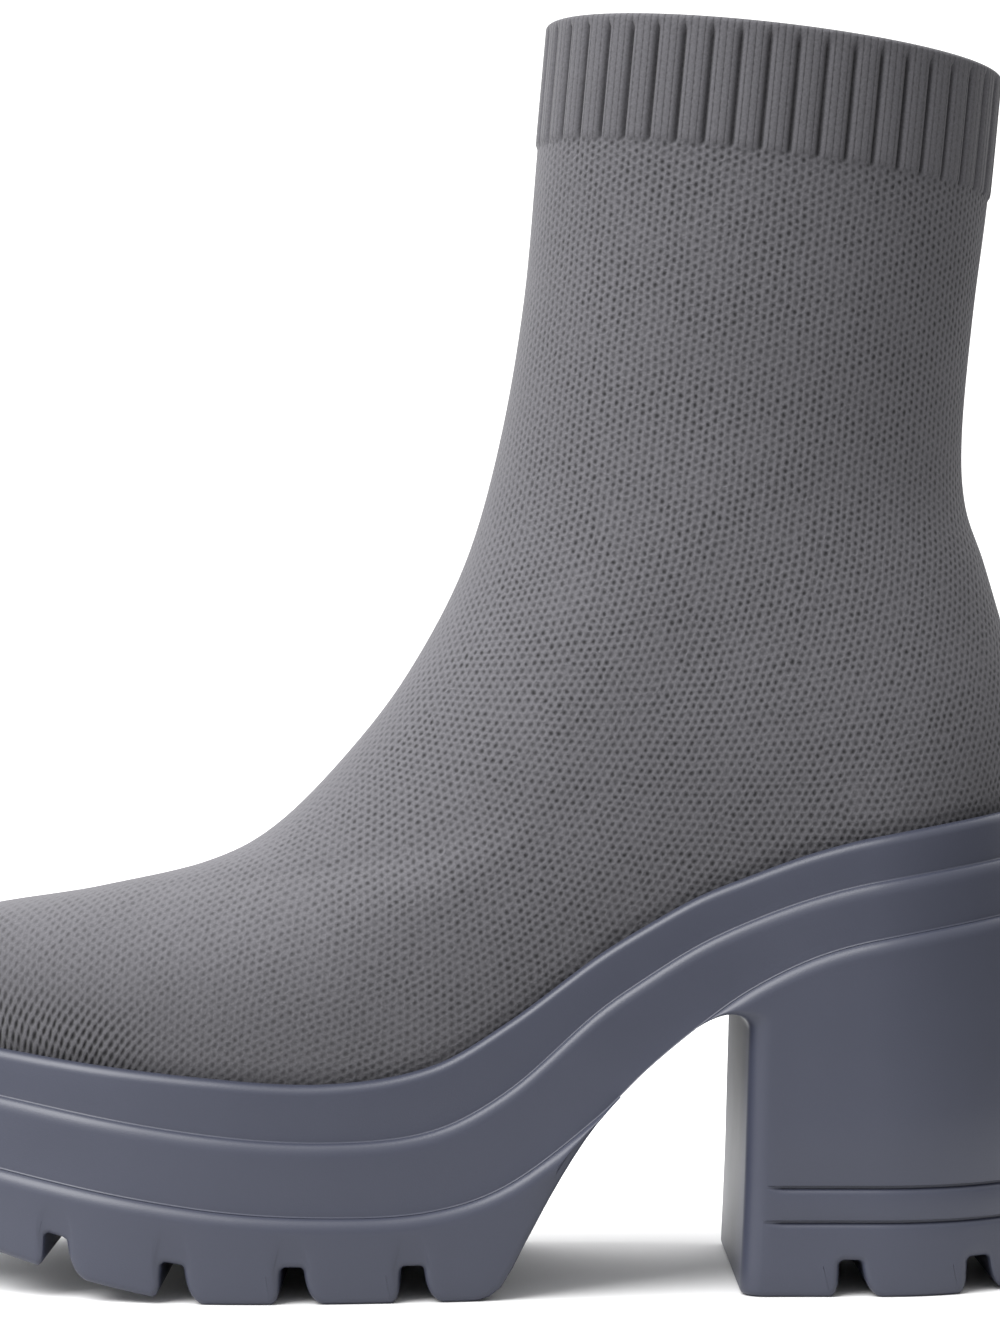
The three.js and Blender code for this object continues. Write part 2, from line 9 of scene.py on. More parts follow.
import bmesh
import bpy
import numpy as np
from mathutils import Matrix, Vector


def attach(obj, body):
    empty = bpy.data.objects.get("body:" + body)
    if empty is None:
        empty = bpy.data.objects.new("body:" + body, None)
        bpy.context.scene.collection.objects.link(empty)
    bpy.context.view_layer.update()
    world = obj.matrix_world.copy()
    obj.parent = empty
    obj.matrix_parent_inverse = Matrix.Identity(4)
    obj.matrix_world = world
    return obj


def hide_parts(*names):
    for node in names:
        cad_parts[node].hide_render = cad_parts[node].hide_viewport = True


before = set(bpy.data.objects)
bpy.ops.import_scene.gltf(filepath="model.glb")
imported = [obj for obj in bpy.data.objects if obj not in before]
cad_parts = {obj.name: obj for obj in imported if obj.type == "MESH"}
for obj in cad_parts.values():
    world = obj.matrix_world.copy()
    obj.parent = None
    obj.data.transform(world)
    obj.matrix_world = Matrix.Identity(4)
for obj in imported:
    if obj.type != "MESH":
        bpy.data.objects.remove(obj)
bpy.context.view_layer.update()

MM = 0.001
BODY = "root"
ORIGIN = (0.0, 0.0, 0.0)
HALF_CELL = (0.5, 0.5, 0.0)
SEAM = 0.02

log = logging.getLogger("sock_boot")

Height = Callable[[np.ndarray], np.ndarray]
Colour = tuple[float, float, float]
Pairs = list[tuple[float, float]]


class Side(Enum):
    """The two sides of the shoe, with the sign of their Y."""

    OUTER = -1.0
    INNER = 1.0


class Finish(Enum):
    """Names of the pieces' finishes, passed to mount but not used there."""

    KNIT = "knit"
    FOOTBED = "footbed"
    SOLE = "sole"


class Twin(Enum):
    """The inner point of a ring that faces its first point, counted back from the ring's end."""

    SHARED = 0
    LAST = 1


class Range(NamedTuple):
    """A smooth change from start to end while a value goes from low to high."""

    low: float
    high: float
    start: float = 0.0
    end: float = 1.0


class PlanRow(NamedTuple):
    """Half widths of the sole's outline and its middle line, as shares of half the ball width."""

    along: float
    outer: float
    inner: float
    middle: float


class LineRow(NamedTuple):
    """Lines on the sole's side: the rim's rise and the heights of the two bands, as shares."""

    along: float
    rim: float
    upper_band: float
    lower_band: float


class ArchRow(NamedTuple):
    """How far the outsole's tail has risen from the floor to the midsole."""

    along: float
    rise: float


class RingRow(NamedTuple):
    """A ring of the upper: where its front and back lie, and how far up from rim to collar."""

    front: float
    front_up: float
    back: float
    back_up: float


PLAN = (
    PlanRow(0.00, 0.84, 0.88, 0.14),
    PlanRow(0.12, 0.90, 0.95, 0.10),
    PlanRow(0.24, 0.97, 0.97, 0.03),
    PlanRow(0.34, 1.00, 0.93, 0.00),
    PlanRow(0.46, 0.94, 0.83, -0.02),
    PlanRow(0.60, 0.84, 0.75, -0.01),
    PlanRow(0.74, 0.80, 0.76, 0.00),
    PlanRow(0.88, 0.80, 0.79, 0.00),
    PlanRow(1.00, 0.79, 0.79, 0.00),
)
SOLE_LINES = (
    LineRow(0.00, 0.196, 0.780, 0.890),
    LineRow(0.15, 0.102, 0.810, 0.970),
    LineRow(0.31, 0.022, 0.957, 0.990),
    LineRow(0.41, 0.000, 0.990, 0.990),
    LineRow(0.49, 0.062, 1.100, 1.070),
    LineRow(0.55, 0.216, 1.165, 1.265),
    LineRow(0.62, 0.448, 0.957, 1.425),
    LineRow(0.66, 0.560, 0.889, 1.237),
    LineRow(0.70, 0.660, 0.835, 1.087),
    LineRow(0.74, 0.733, 0.780, 0.915),
    LineRow(0.79, 0.815, 0.775, 0.800),
    LineRow(0.84, 0.874, 0.780, 0.770),
    LineRow(1.00, 1.000, 0.810, 0.757),
)
ARCH = (
    ArchRow(0.300, 0.000),
    ArchRow(0.522, 0.000),
    ArchRow(0.543, 0.110),
    ArchRow(0.562, 0.440),
    ArchRow(0.581, 0.700),
    ArchRow(0.600, 0.870),
    ArchRow(0.619, 0.966),
    ArchRow(0.638, 0.998),
)
RINGS = (
    RingRow(0.0293, 0.0000, 0.9707, 0.0000),
    RingRow(0.0315, 0.0280, 0.9739, 0.0336),
    RingRow(0.0450, 0.0560, 0.9751, 0.0671),
    RingRow(0.0740, 0.0835, 0.9747, 0.0973),
    RingRow(0.1240, 0.1095, 0.9731, 0.1275),
    RingRow(0.2116, 0.1312, 0.9707, 0.1577),
    RingRow(0.3020, 0.1572, 0.9675, 0.1880),
    RingRow(0.3606, 0.1965, 0.9635, 0.2148),
    RingRow(0.4245, 0.2770, 0.9546, 0.2651),
    RingRow(0.4727, 0.3580, 0.9422, 0.3356),
    RingRow(0.5149, 0.4597, 0.9273, 0.4128),
    RingRow(0.5430, 0.5810, 0.9249, 0.5101),
    RingRow(0.5627, 0.7230, 0.9337, 0.6711),
    RingRow(0.5739, 0.8750, 0.9458, 0.8270),
    RingRow(0.5831, 1.0000, 0.9558, 1.0000),
)
COLLAR_ROW = len(RINGS) - 1
CUFF_ROW = len(RINGS) - 2
ANKLE_ROW = 11
SETTLED_ROW = 5


def smooth(value: np.ndarray) -> np.ndarray:
    """Smoothstep from 0 to 1."""
    share = np.clip(value, 0.0, 1.0)
    return share * share * (3.0 - 2.0 * share)


def mix(low: np.ndarray, high: np.ndarray, share: np.ndarray) -> np.ndarray:
    """Straight mix of two values."""
    return low + (high - low) * share


def rounding(distance: np.ndarray, length: np.ndarray) -> np.ndarray:
    """Quarter-ellipse rounding: 0 at the tip and 1 once the distance reaches the length."""
    left = 1.0 - np.clip(distance / length, 0.0, 1.0)
    return np.sqrt(np.maximum(0.0, 1.0 - left * left))


def below(line: Height, drop: float) -> Height:
    """The line a drop further down."""
    return lambda x: line(x) - drop


def between(start: Height, end: Height, share: float) -> Height:
    """The line a share of the way from one to another."""
    return lambda x: mix(start(x), end(x), share)


def level(height: float) -> Height:
    """A flat line."""
    return lambda x: np.full_like(x, height)


def follow(keys: np.ndarray, values: np.ndarray, places: np.ndarray) -> np.ndarray:
    """A smooth curve through one column of a table.

    Args:
        keys: The table's rising places.
        values: The column's values at those places.
        places: Where the curve is read.

    Returns:
        The values at the places.
    """
    places = np.asarray(places, dtype=float)
    last = len(keys) - 1
    before, after = np.maximum(np.arange(last + 1) - 1, 0), np.minimum(np.arange(last + 1) + 1, last)
    slopes = (values[after] - values[before]) / (keys[after] - keys[before])
    row = np.clip(np.searchsorted(keys, places, side="left") - 1, 0, last - 1)
    span = keys[row + 1] - keys[row]
    share = np.clip((places - keys[row]) / span, 0.0, 1.0)
    square, cubic = share**2, share**3
    return (
        (2 * cubic - 3 * square + 1) * values[row]
        + (cubic - 2 * square + share) * span * slopes[row]
        + (3 * square - 2 * cubic) * values[row + 1]
        + (cubic - square) * span * slopes[row + 1]
    )


def column(table: tuple, name: str) -> np.ndarray:
    """One column of a table as an array."""
    return np.array([getattr(row, name) for row in table], dtype=float)


def table_curve(table: tuple, name: str, along: np.ndarray) -> np.ndarray:
    """The curve through a column of a table that is keyed by the share of the length."""
    return follow(column(table, "along"), column(table, name), along)


def linear(red: int, green: int, blue: int) -> Colour:
    """A screen colour, each channel from 0 to 255, as the linear colour that a shader takes."""
    shares = (channel / 255 for channel in (red, green, blue))
    return tuple(s / 12.92 if s <= 0.04045 else ((s + 0.055) / 1.055) ** 2.4 for s in shares)


def arc(centre: tuple[float, float], radius: float, start: float, end: float, steps: int) -> Pairs:
    """Points on an arc in a section.

    Args:
        centre: Inset and drop of the centre.
        radius: The arc's radius.
        start: Its first angle in degrees, 0 pointing outwards and 90 up.
        end: Its last angle.
        steps: How many steps it has.

    Returns:
        Pairs of inset and drop.
    """
    angles = np.radians(np.linspace(start, end, steps + 1))
    return [(centre[0] - radius * math.cos(a), centre[1] - radius * math.sin(a)) for a in angles]


@dataclass(frozen=True)
class Last:
    """The sizes that sole and upper share, in millimetres, and the lines worked out from them."""

    length: float = 249.0
    ball_width: float = 96.0
    forefoot_rim: float = 42.3
    heel_rim: float = 97.0
    upper_band: float = 11.5
    lower_band: float = 14.0
    toe_spring: float = 19.0
    spring_start: float = 0.31
    spring_bend: float = 1.3
    toe_round: float = 66.0
    heel_round: float = 40.0
    ledge: float = 2.0
    lip: float = 3.0
    cup_depth: float = 6.0
    gap: float = 0.3
    seat_gap: float = 0.45
    wall: float = 2.0
    tangent_step: float = 0.002

    @property
    def band_inset(self) -> float:
        """How far inside the outline the upper band stands."""
        return 2 * self.ledge

    @property
    def cup_inset(self) -> float:
        """How far inside the outline the cup's wall stands."""
        return self.band_inset + self.lip

    @property
    def upper_inset(self) -> float:
        """How far inside the outline the upper's outer face stands."""
        return self.cup_inset + self.gap

    def along(self, x: np.ndarray) -> np.ndarray:
        """Share of the length at x."""
        return np.asarray(x) / self.length + 0.5

    def x_of(self, along: np.ndarray) -> np.ndarray:
        """x at a share of the length."""
        return (np.asarray(along) - 0.5) * self.length

    def half(self, side: np.ndarray, along: np.ndarray) -> np.ndarray:
        """Half width of the outline on a side, before its ends are rounded."""
        share = np.where(side < 0, table_curve(PLAN, "outer", along), table_curve(PLAN, "inner", along))
        return share * self.ball_width / 2

    def middle(self, along: np.ndarray) -> np.ndarray:
        """y of the middle line."""
        return table_curve(PLAN, "middle", along) * self.ball_width / 2

    def plan_point(self, turn: np.ndarray) -> np.ndarray:
        """The outline from above.

        Args:
            turn: Turns, 0 at the toe and 0.5 at the heel's back, the outer side first.

        Returns:
            Pairs of x and y.
        """
        turn = np.asarray(turn, dtype=float)
        along = (1 - np.cos(2 * np.pi * turn)) / 2
        side = np.where(np.sin(2 * np.pi * turn) > 0, -1.0, 1.0)
        toe = rounding(along * self.length, self.toe_round)
        heel = rounding((1 - along) * self.length, self.heel_round)
        y = self.middle(along) + side * self.half(side, along) * toe * heel
        return np.stack([self.x_of(along), y], axis=-1)

    def inset_point(self, turn: np.ndarray, inset: float) -> np.ndarray:
        """The outline moved inwards at right angles to itself.

        Args:
            turn: Turns round the outline.
            inset: How far inwards.

        Returns:
            Pairs of x and y.
        """
        turn = np.asarray(turn, dtype=float)
        tangent = self.plan_point(turn + self.tangent_step) - self.plan_point(turn - self.tangent_step)
        tangent /= np.linalg.norm(tangent, axis=-1, keepdims=True)
        normal = np.stack([-tangent[..., 1], tangent[..., 0]], axis=-1)
        return self.plan_point(turn) + normal * inset

    def turn_at(self, side: Side, x: np.ndarray, inset: float) -> np.ndarray:
        """Turn at which the inset outline of a side stands at x.

        Args:
            side: The side of the shoe.
            x: Places along the shoe.
            inset: How far inside the outline.

        Returns:
            The turns, from 0 at the toe to 0.5 at the back, mirrored for the inner side.
        """
        turns = np.linspace(0.0, 0.5, 900)
        shown = turns if side is Side.OUTER else 1 - turns
        places = np.maximum.accumulate(self.inset_point(shown, inset)[:, 0])
        found = np.interp(x, places, turns)
        return found if side is Side.OUTER else 1 - found

    def rim(self, x: np.ndarray) -> np.ndarray:
        """Height of the rim."""
        rise = table_curve(SOLE_LINES, "rim", self.along(x))
        return self.forefoot_rim + rise * (self.heel_rim - self.forefoot_rim)

    def ledge_line(self, x: np.ndarray) -> np.ndarray:
        """Height of the ledge between the two bands."""
        return self.rim(x) - table_curve(SOLE_LINES, "upper_band", self.along(x)) * self.upper_band

    def underside(self, x: np.ndarray) -> np.ndarray:
        """Height of the midsole's underside."""
        return self.ledge_line(x) - table_curve(SOLE_LINES, "lower_band", self.along(x)) * self.lower_band

    def seat(self, x: np.ndarray) -> np.ndarray:
        """Height at which outsole and heel meet the midsole."""
        return self.underside(x) - self.seat_gap

    def cup_floor(self, x: np.ndarray) -> np.ndarray:
        """Height of the cup's floor."""
        return self.rim(x) - self.cup_depth

    def ground(self, x: np.ndarray) -> np.ndarray:
        """Height of the tread's ground line."""
        return self.toe_spring * np.maximum(0.0, 1 - self.along(x) / self.spring_start) ** self.spring_bend

    def tread_line(self, x: np.ndarray) -> np.ndarray:
        """Height of the outsole's bottom, without its channels."""
        rise = np.clip(table_curve(ARCH, "rise", self.along(x)), 0, 1)
        return mix(self.ground(x), self.seat(x), rise)


class MeshMaker:
    """Turns rings of points in millimetres into mesh objects."""

    @staticmethod
    def build(
        name: str,
        points: np.ndarray,
        faces: list,
        maps: dict[str, np.ndarray] | None = None,
        values: dict[str, np.ndarray] | None = None,
        crease: float = 38.0,
    ) -> bpy.types.Object:
        """Makes one object, smooth but for edges sharper than the crease angle.

        Args:
            name: The piece's name.
            points: Its points in millimetres.
            faces: Its faces as lists of point numbers.
            maps: UV maps by name, one pair for each face corner.
            values: Point values by name.
            crease: The angle in degrees past which an edge is sharp.

        Returns:
            The object, linked to the scene.
        """
        mesh = bpy.data.meshes.new(name)
        mesh.from_pydata((points * MM).tolist(), [], faces)
        for map_name, pairs in (maps or {}).items():
            layer = mesh.uv_layers.new(name=map_name)
            layer.data.foreach_set("uv", np.asarray(pairs, dtype=np.float32).ravel())
        for value_name, numbers in (values or {}).items():
            attribute = mesh.attributes.new(value_name, "FLOAT", "POINT")
            attribute.data.foreach_set("value", np.asarray(numbers, dtype=np.float32).ravel())
        mesh.polygons.foreach_set("use_smooth", [True] * len(mesh.polygons))
        mesh.update()
        mesh.validate()
        mesh.set_sharp_from_angle(angle=math.radians(crease))
        made = bpy.data.objects.new(name, mesh)
        bpy.context.scene.collection.objects.link(made)
        return made

    @staticmethod
    def closed(
        name: str, rings: list[np.ndarray], twin: Twin, crease: float = 38.0, turned: int = 0
    ) -> bpy.types.Object:
        """Skins a stack of rings and closes its first and last ring across the shoe.

        Args:
            name: The piece's name.
            rings: Rings of points, each outer side first and the inner side back again.
            twin: Which inner point faces a ring's first point.
            crease: The angle in degrees past which an edge is sharp.
            turned: The end whose faces are listed the other way round: 0 the first, 1 the last.

        Returns:
            The closed object, its faces outwards.
        """
        size = len(rings[0])
        top = (len(rings) - 1) * size
        faces = []
        for base in range(0, top, size):
            for k in range(size):
                after = (k + 1) % size
                faces.append([base + k, base + size + k, base + size + after, base + after])
        for end, base in enumerate((0, top)):
            for k in range(size // 2):
                facing = size - k - twin.value
                cap = [base + i for i in dict.fromkeys((k, k + 1, (facing - 1) % size, facing % size))]
                if len(cap) > 2:
                    faces.append(cap[::-1] if end == turned else cap)
        return MeshMaker.outward(MeshMaker.build(name, np.concatenate(rings), faces, crease=crease))

    @staticmethod
    def outward(made: bpy.types.Object, apart: float = 1e-6) -> bpy.types.Object:
        """Merges doubles and turns a closed skin's faces outwards.

        Args:
            made: The object.
            apart: Points closer than this are one.

        Returns:
            The same object.
        """
        work = bmesh.new()
        work.from_mesh(made.data)
        bmesh.ops.remove_doubles(work, verts=work.verts, dist=apart)
        bmesh.ops.recalc_face_normals(work, faces=work.faces)
        if work.calc_volume(signed=True) < 0:
            bmesh.ops.reverse_faces(work, faces=work.faces)
        work.to_mesh(made.data)
        work.free()
        return made


class Value:
    """A node's output that can be reckoned with like a number."""

    def __init__(self, nodes: "Nodes", socket: bpy.types.NodeSocket) -> None:
        """Keeps the tree's helper and the output."""
        self.nodes, self.socket = nodes, socket

    def __add__(self, other: object) -> "Value":
        """This plus another."""
        return self.nodes.math("ADD", self, other)

    def __radd__(self, other: object) -> "Value":
        """Another plus this."""
        return self.nodes.math("ADD", other, self)

    def __sub__(self, other: object) -> "Value":
        """This less another."""
        return self.nodes.math("SUBTRACT", self, other)

    def __rsub__(self, other: object) -> "Value":
        """Another less this."""
        return self.nodes.math("SUBTRACT", other, self)

    def __mul__(self, other: object) -> "Value":
        """This times another."""
        return self.nodes.math("MULTIPLY", self, other)

    def __truediv__(self, other: object) -> "Value":
        """This divided by another."""
        return self.nodes.math("DIVIDE", self, other)

    def __rtruediv__(self, other: object) -> "Value":
        """Another divided by this."""
        return self.nodes.math("DIVIDE", other, self)


class Nodes:
    """Short ways to add and join nodes in one tree."""

    def __init__(self, tree: bpy.types.NodeTree) -> None:
        """Keeps the tree."""
        self.tree = tree

    def add(self, kind: str, **settings: object) -> bpy.types.Node:
        """Adds a node and sets its properties.

        Args:
            kind: The node's type.
            settings: Its properties.

        Returns:
            The node.
        """
        node = self.tree.nodes.new(kind)
        for name, value in settings.items():
            setattr(node, name, value)
        return node

    def put(self, socket: bpy.types.NodeSocket, value: object) -> None:
        """Links a socket, or sets a plain value on it.

        Args:
            socket: The input.
            value: A node's output, or a number, tuple or material.
        """
        if isinstance(value, Value):
            self.tree.links.new(value.socket, socket)
        else:
            socket.default_value = value

    def made(self, kind: str, given: dict, output: int | str = 0, **settings: object) -> Value:
        """Adds a node and fills its inputs.

        Args:
            kind: The node's type.
            given: Its inputs by name or number.
            output: The output wanted, by name or number.
            settings: Its properties.

        Returns:
            The output.
        """
        node = self.add(kind, **settings)
        for label, value in given.items():
            self.put(node.inputs[label], value)
        return Value(self, node.outputs[output])

    def math(self, operation: str, *values: object, clamp: bool = False) -> Value:
        """A Math node."""
        return self.made("ShaderNodeMath", dict(enumerate(values)), operation=operation, use_clamp=clamp)

    def vector(self, operation: str, *values: object) -> Value:
        """A Vector Math node."""
        output = "Value" if operation == "LENGTH" else 0
        return self.made("ShaderNodeVectorMath", dict(enumerate(values)), output, operation=operation)

    def scaled(self, vector: Value, factor: object) -> Value:
        """A vector or colour times a number."""
        return self.made("ShaderNodeVectorMath", {0: vector, "Scale": factor}, operation="SCALE")

    def ramp(
        self, value: Value, low: object, high: object, start: object = 0.0, end: object = 1.0
    ) -> Value:
        """A smooth change from start to end while the value goes from low to high."""
        given = {"Value": value, "From Min": low, "From Max": high, "To Min": start, "To Max": end}
        return self.made("ShaderNodeMapRange", given, interpolation_type="SMOOTHSTEP")

    def blend(self, share: Value, low: Colour, high: Colour) -> Value:
        """A mix of two colours.

        Args:
            share: How much of the second colour there is.
            low: The colour at share 0.
            high: The colour at share 1.

        Returns:
            The mixed colour.
        """
        node = self.add("ShaderNodeMix", data_type="RGBA")
        inputs = {socket.identifier: socket for socket in node.inputs}
        self.put(inputs["Factor_Float"], share)
        self.put(inputs["A_Color"], (*low, 1.0))
        self.put(inputs["B_Color"], (*high, 1.0))
        return Value(self, next(socket for socket in node.outputs if socket.identifier == "Result_Color"))

    def noise(self, where: Value, scale: object, detail: float = 2.0, output: int | str = 0) -> Value:
        """A Noise Texture's value, or another of its outputs."""
        return self.made("ShaderNodeTexNoise", {"Vector": where, "Scale": scale, "Detail": detail}, output)

    def attribute(self, name: str) -> Value:
        """A point value of the piece."""
        return self.made("ShaderNodeAttribute", {}, "Fac", attribute_name=name)

    def uv(self, name: str) -> Value:
        """A UV map of the piece."""
        return self.made("ShaderNodeUVMap", {}, uv_map=name)

    def split(self, vector: Value) -> tuple[Value, Value]:
        """X and Y of a vector."""
        node = self.made("ShaderNodeSeparateXYZ", {0: vector}).socket.node
        return Value(self, node.outputs[0]), Value(self, node.outputs[1])

    def join(self, x: object, y: object) -> Value:
        """A vector from X and Y."""
        return self.made("ShaderNodeCombineXYZ", {0: x, 1: y})


class GroupMaker:
    """Builds a shader node group with named sockets once, and places it in materials."""

    def __init__(self, name: str, inputs: dict[str, object], outputs: tuple[str, ...]) -> None:
        """Makes the group's tree and its sockets.

        Args:
            name: The group's name.
            inputs: Default values by name: a number, or a tuple for a vector.
            outputs: Names of the value outputs.
        """
        self.tree = bpy.data.node_groups.new(name, "ShaderNodeTree")
        for label, default in inputs.items():
            kind = "NodeSocketVector" if isinstance(default, tuple) else "NodeSocketFloat"
            socket = self.tree.interface.new_socket(label, in_out="INPUT", socket_type=kind)
            socket.default_value = default
        for label in outputs:
            self.tree.interface.new_socket(label, in_out="OUTPUT", socket_type="NodeSocketFloat")
        self.nodes = Nodes(self.tree)
        self.source = self.nodes.add("NodeGroupInput")
        self.result = self.nodes.add("NodeGroupOutput")

    def read(self, label: str) -> Value:
        """One of the group's inputs."""
        return Value(self.nodes, self.source.outputs[label])

    def give(self, **values: Value) -> "GroupMaker":
        """Sets the group's outputs.

        Args:
            values: The outputs by name.

        Returns:
            The finished group.
        """
        for label, value in values.items():
            self.nodes.put(self.result.inputs[label], value)
        return self

    def place(self, nodes: Nodes, **values: object) -> dict[str, Value]:
        """Places the group in a material.

        Args:
            nodes: The material's nodes.
            values: The group's inputs, with underscores for the spaces of their names.

        Returns:
            Its outputs by name.
        """
        node = nodes.add("ShaderNodeGroup")
        node.node_tree = self.tree
        for label, value in values.items():
            nodes.put(node.inputs[label.replace("_", " ")], value)
        return {socket.name: Value(nodes, socket) for socket in node.outputs}


class SharedEffects:
    """The node groups that the materials share."""

    def __init__(self) -> None:
        """Builds the groups."""
        self.grain, self.mesh_knit, self.cords = self._grain(), self._mesh_knit(), self._cords()

    @staticmethod
    def _grain() -> GroupMaker:
        """A fine grain with a slow variation: a height, a tone share and a patch share.

        Returns:
            The group.
        """
        inputs = {"Vector": ORIGIN, "Grain Size": 0.4, "Patch Size": 30.0}
        made = GroupMaker("fine grain", inputs, ("Height", "Tone", "Patch"))
        nodes = made.nodes
        where = nodes.scaled(made.read("Vector"), 1 / MM)
        fine = nodes.noise(where, 1.0 / made.read("Grain Size"))
        patch = nodes.noise(where, 1.0 / made.read("Patch Size"), 3.0)
        return made.give(Height=fine, Tone=fine - 0.5, Patch=patch - 0.5)

    @staticmethod
    def _mesh_knit() -> GroupMaker:
        """Staggered small holes between knitted loops, in bands that keep their spacing round a bend.

        The map's x is the distance across the wales and its y the way along them. Between minus
        the bend length and 0 the wales turn round the instep, and a band there is as long as
        its own radius asks.

        Returns:
            The group.
        """
        sizes = {"Spacing": 1.7, "Hole": 0.4, "Fan": 0.0, "Bend Radius": 118.0, "Bend Length": 132.0}
        made = GroupMaker("mesh knit", {"Vector": ORIGIN, **sizes, "Band": 21.2}, ("Hole", "Height"))
        nodes, read = made.nodes, made.read
        across, along = nodes.split(read("Vector"))
        pitch = read("Spacing") * (math.sqrt(3) / 2)
        band_width = nodes.math("ROUND", read("Band") / pitch / 2.0) * 2.0 * pitch
        band = nodes.math("FLOOR", (across + pitch * 0.5) / band_width)
        stretch = (band + 0.5) * band_width / read("Bend Radius")
        bent = nodes.math("MAXIMUM", nodes.math("MINIMUM", along, 0.0), read("Bend Length") * -1.0)
        way = bent * stretch + (along - bent)
        cell = nodes.join(across / (pitch * 2.0), way / read("Spacing"))
        narrow, long = 1.0 + read("Fan") * 0.45, 1.0 - read("Fan") * 0.26
        real = nodes.vector("MULTIPLY", nodes.join(pitch * 2.0, read("Spacing")), nodes.join(narrow, long))
        nearest = []
        for offset in (HALF_CELL, ORIGIN):
            inside = nodes.vector("FRACTION", nodes.vector("ADD", cell, offset))
            centred = nodes.vector("MULTIPLY", nodes.vector("SUBTRACT", inside, HALF_CELL), real)
            nearest.append(nodes.vector("LENGTH", centred))
        distance = nodes.math("MINIMUM", *nearest)
        size = read("Spacing") * read("Hole")
        return made.give(
            Hole=nodes.ramp(distance, size * 0.15, size * 1.15, 1.0, 0.0),
            Height=nodes.ramp(distance, 0.0, read("Spacing") * 0.56),
        )

    @staticmethod
    def _cords() -> GroupMaker:
        """Round cords side by side with beads along them; the map counts cords and beads.

        Returns:
            The group.
        """
        made = GroupMaker("knit cords", {"Vector": ORIGIN, "Gap": 0.3, "Beading": 0.5}, ("Gap", "Height"))
        nodes, read = made.nodes, made.read
        across, along = nodes.split(read("Vector"))
        phase = nodes.math("ABSOLUTE", nodes.math("FRACT", across) - 0.5)
        height = nodes.math("SQRT", nodes.math("MAXIMUM", 1.0 - nodes.math("POWER", phase * 2.0, 2.0), 0.0))
        staggered = along + nodes.math("FLOOR", across + 0.5) * 0.5
        bead = nodes.math("ABSOLUTE", nodes.math("FRACT", staggered) - 0.5)
        groove = nodes.ramp(phase, 0.5 - read("Gap"), 0.5)
        dots = nodes.ramp(bead, 0.0, 0.45, 1.0, 0.0)
        return made.give(Gap=groove * (1.0 - read("Beading") + dots * read("Beading")), Height=height)


class MaterialMaker:
    """A material with a Principled BSDF, its tree opened for a finish to fill."""

    def __init__(self, name: str) -> None:
        """Makes the material.

        Args:
            name: The material's name.
        """
        self.material = bpy.data.materials.new(name)
        self.material.use_nodes = True
        self.nodes = Nodes(self.material.node_tree)
        self.shader = next(n for n in self.material.node_tree.nodes if n.type == "BSDF_PRINCIPLED")

    def put(self, label: str, value: object) -> None:
        """Sets or links one of the shader's inputs."""
        self.nodes.put(self.shader.inputs[label], value)

    def bump(self, height: Value, depth: float, strength: float = 1.0) -> None:
        """Feeds a height in millimetres to the shader's normal."""
        given = {"Strength": strength, "Distance": depth * MM, "Height": height}
        self.put("Normal", self.nodes.made("ShaderNodeBump", given))

    def place(self) -> Value:
        """The piece's own coordinates."""
        return self.nodes.made("ShaderNodeTexCoord", {}, "Object")


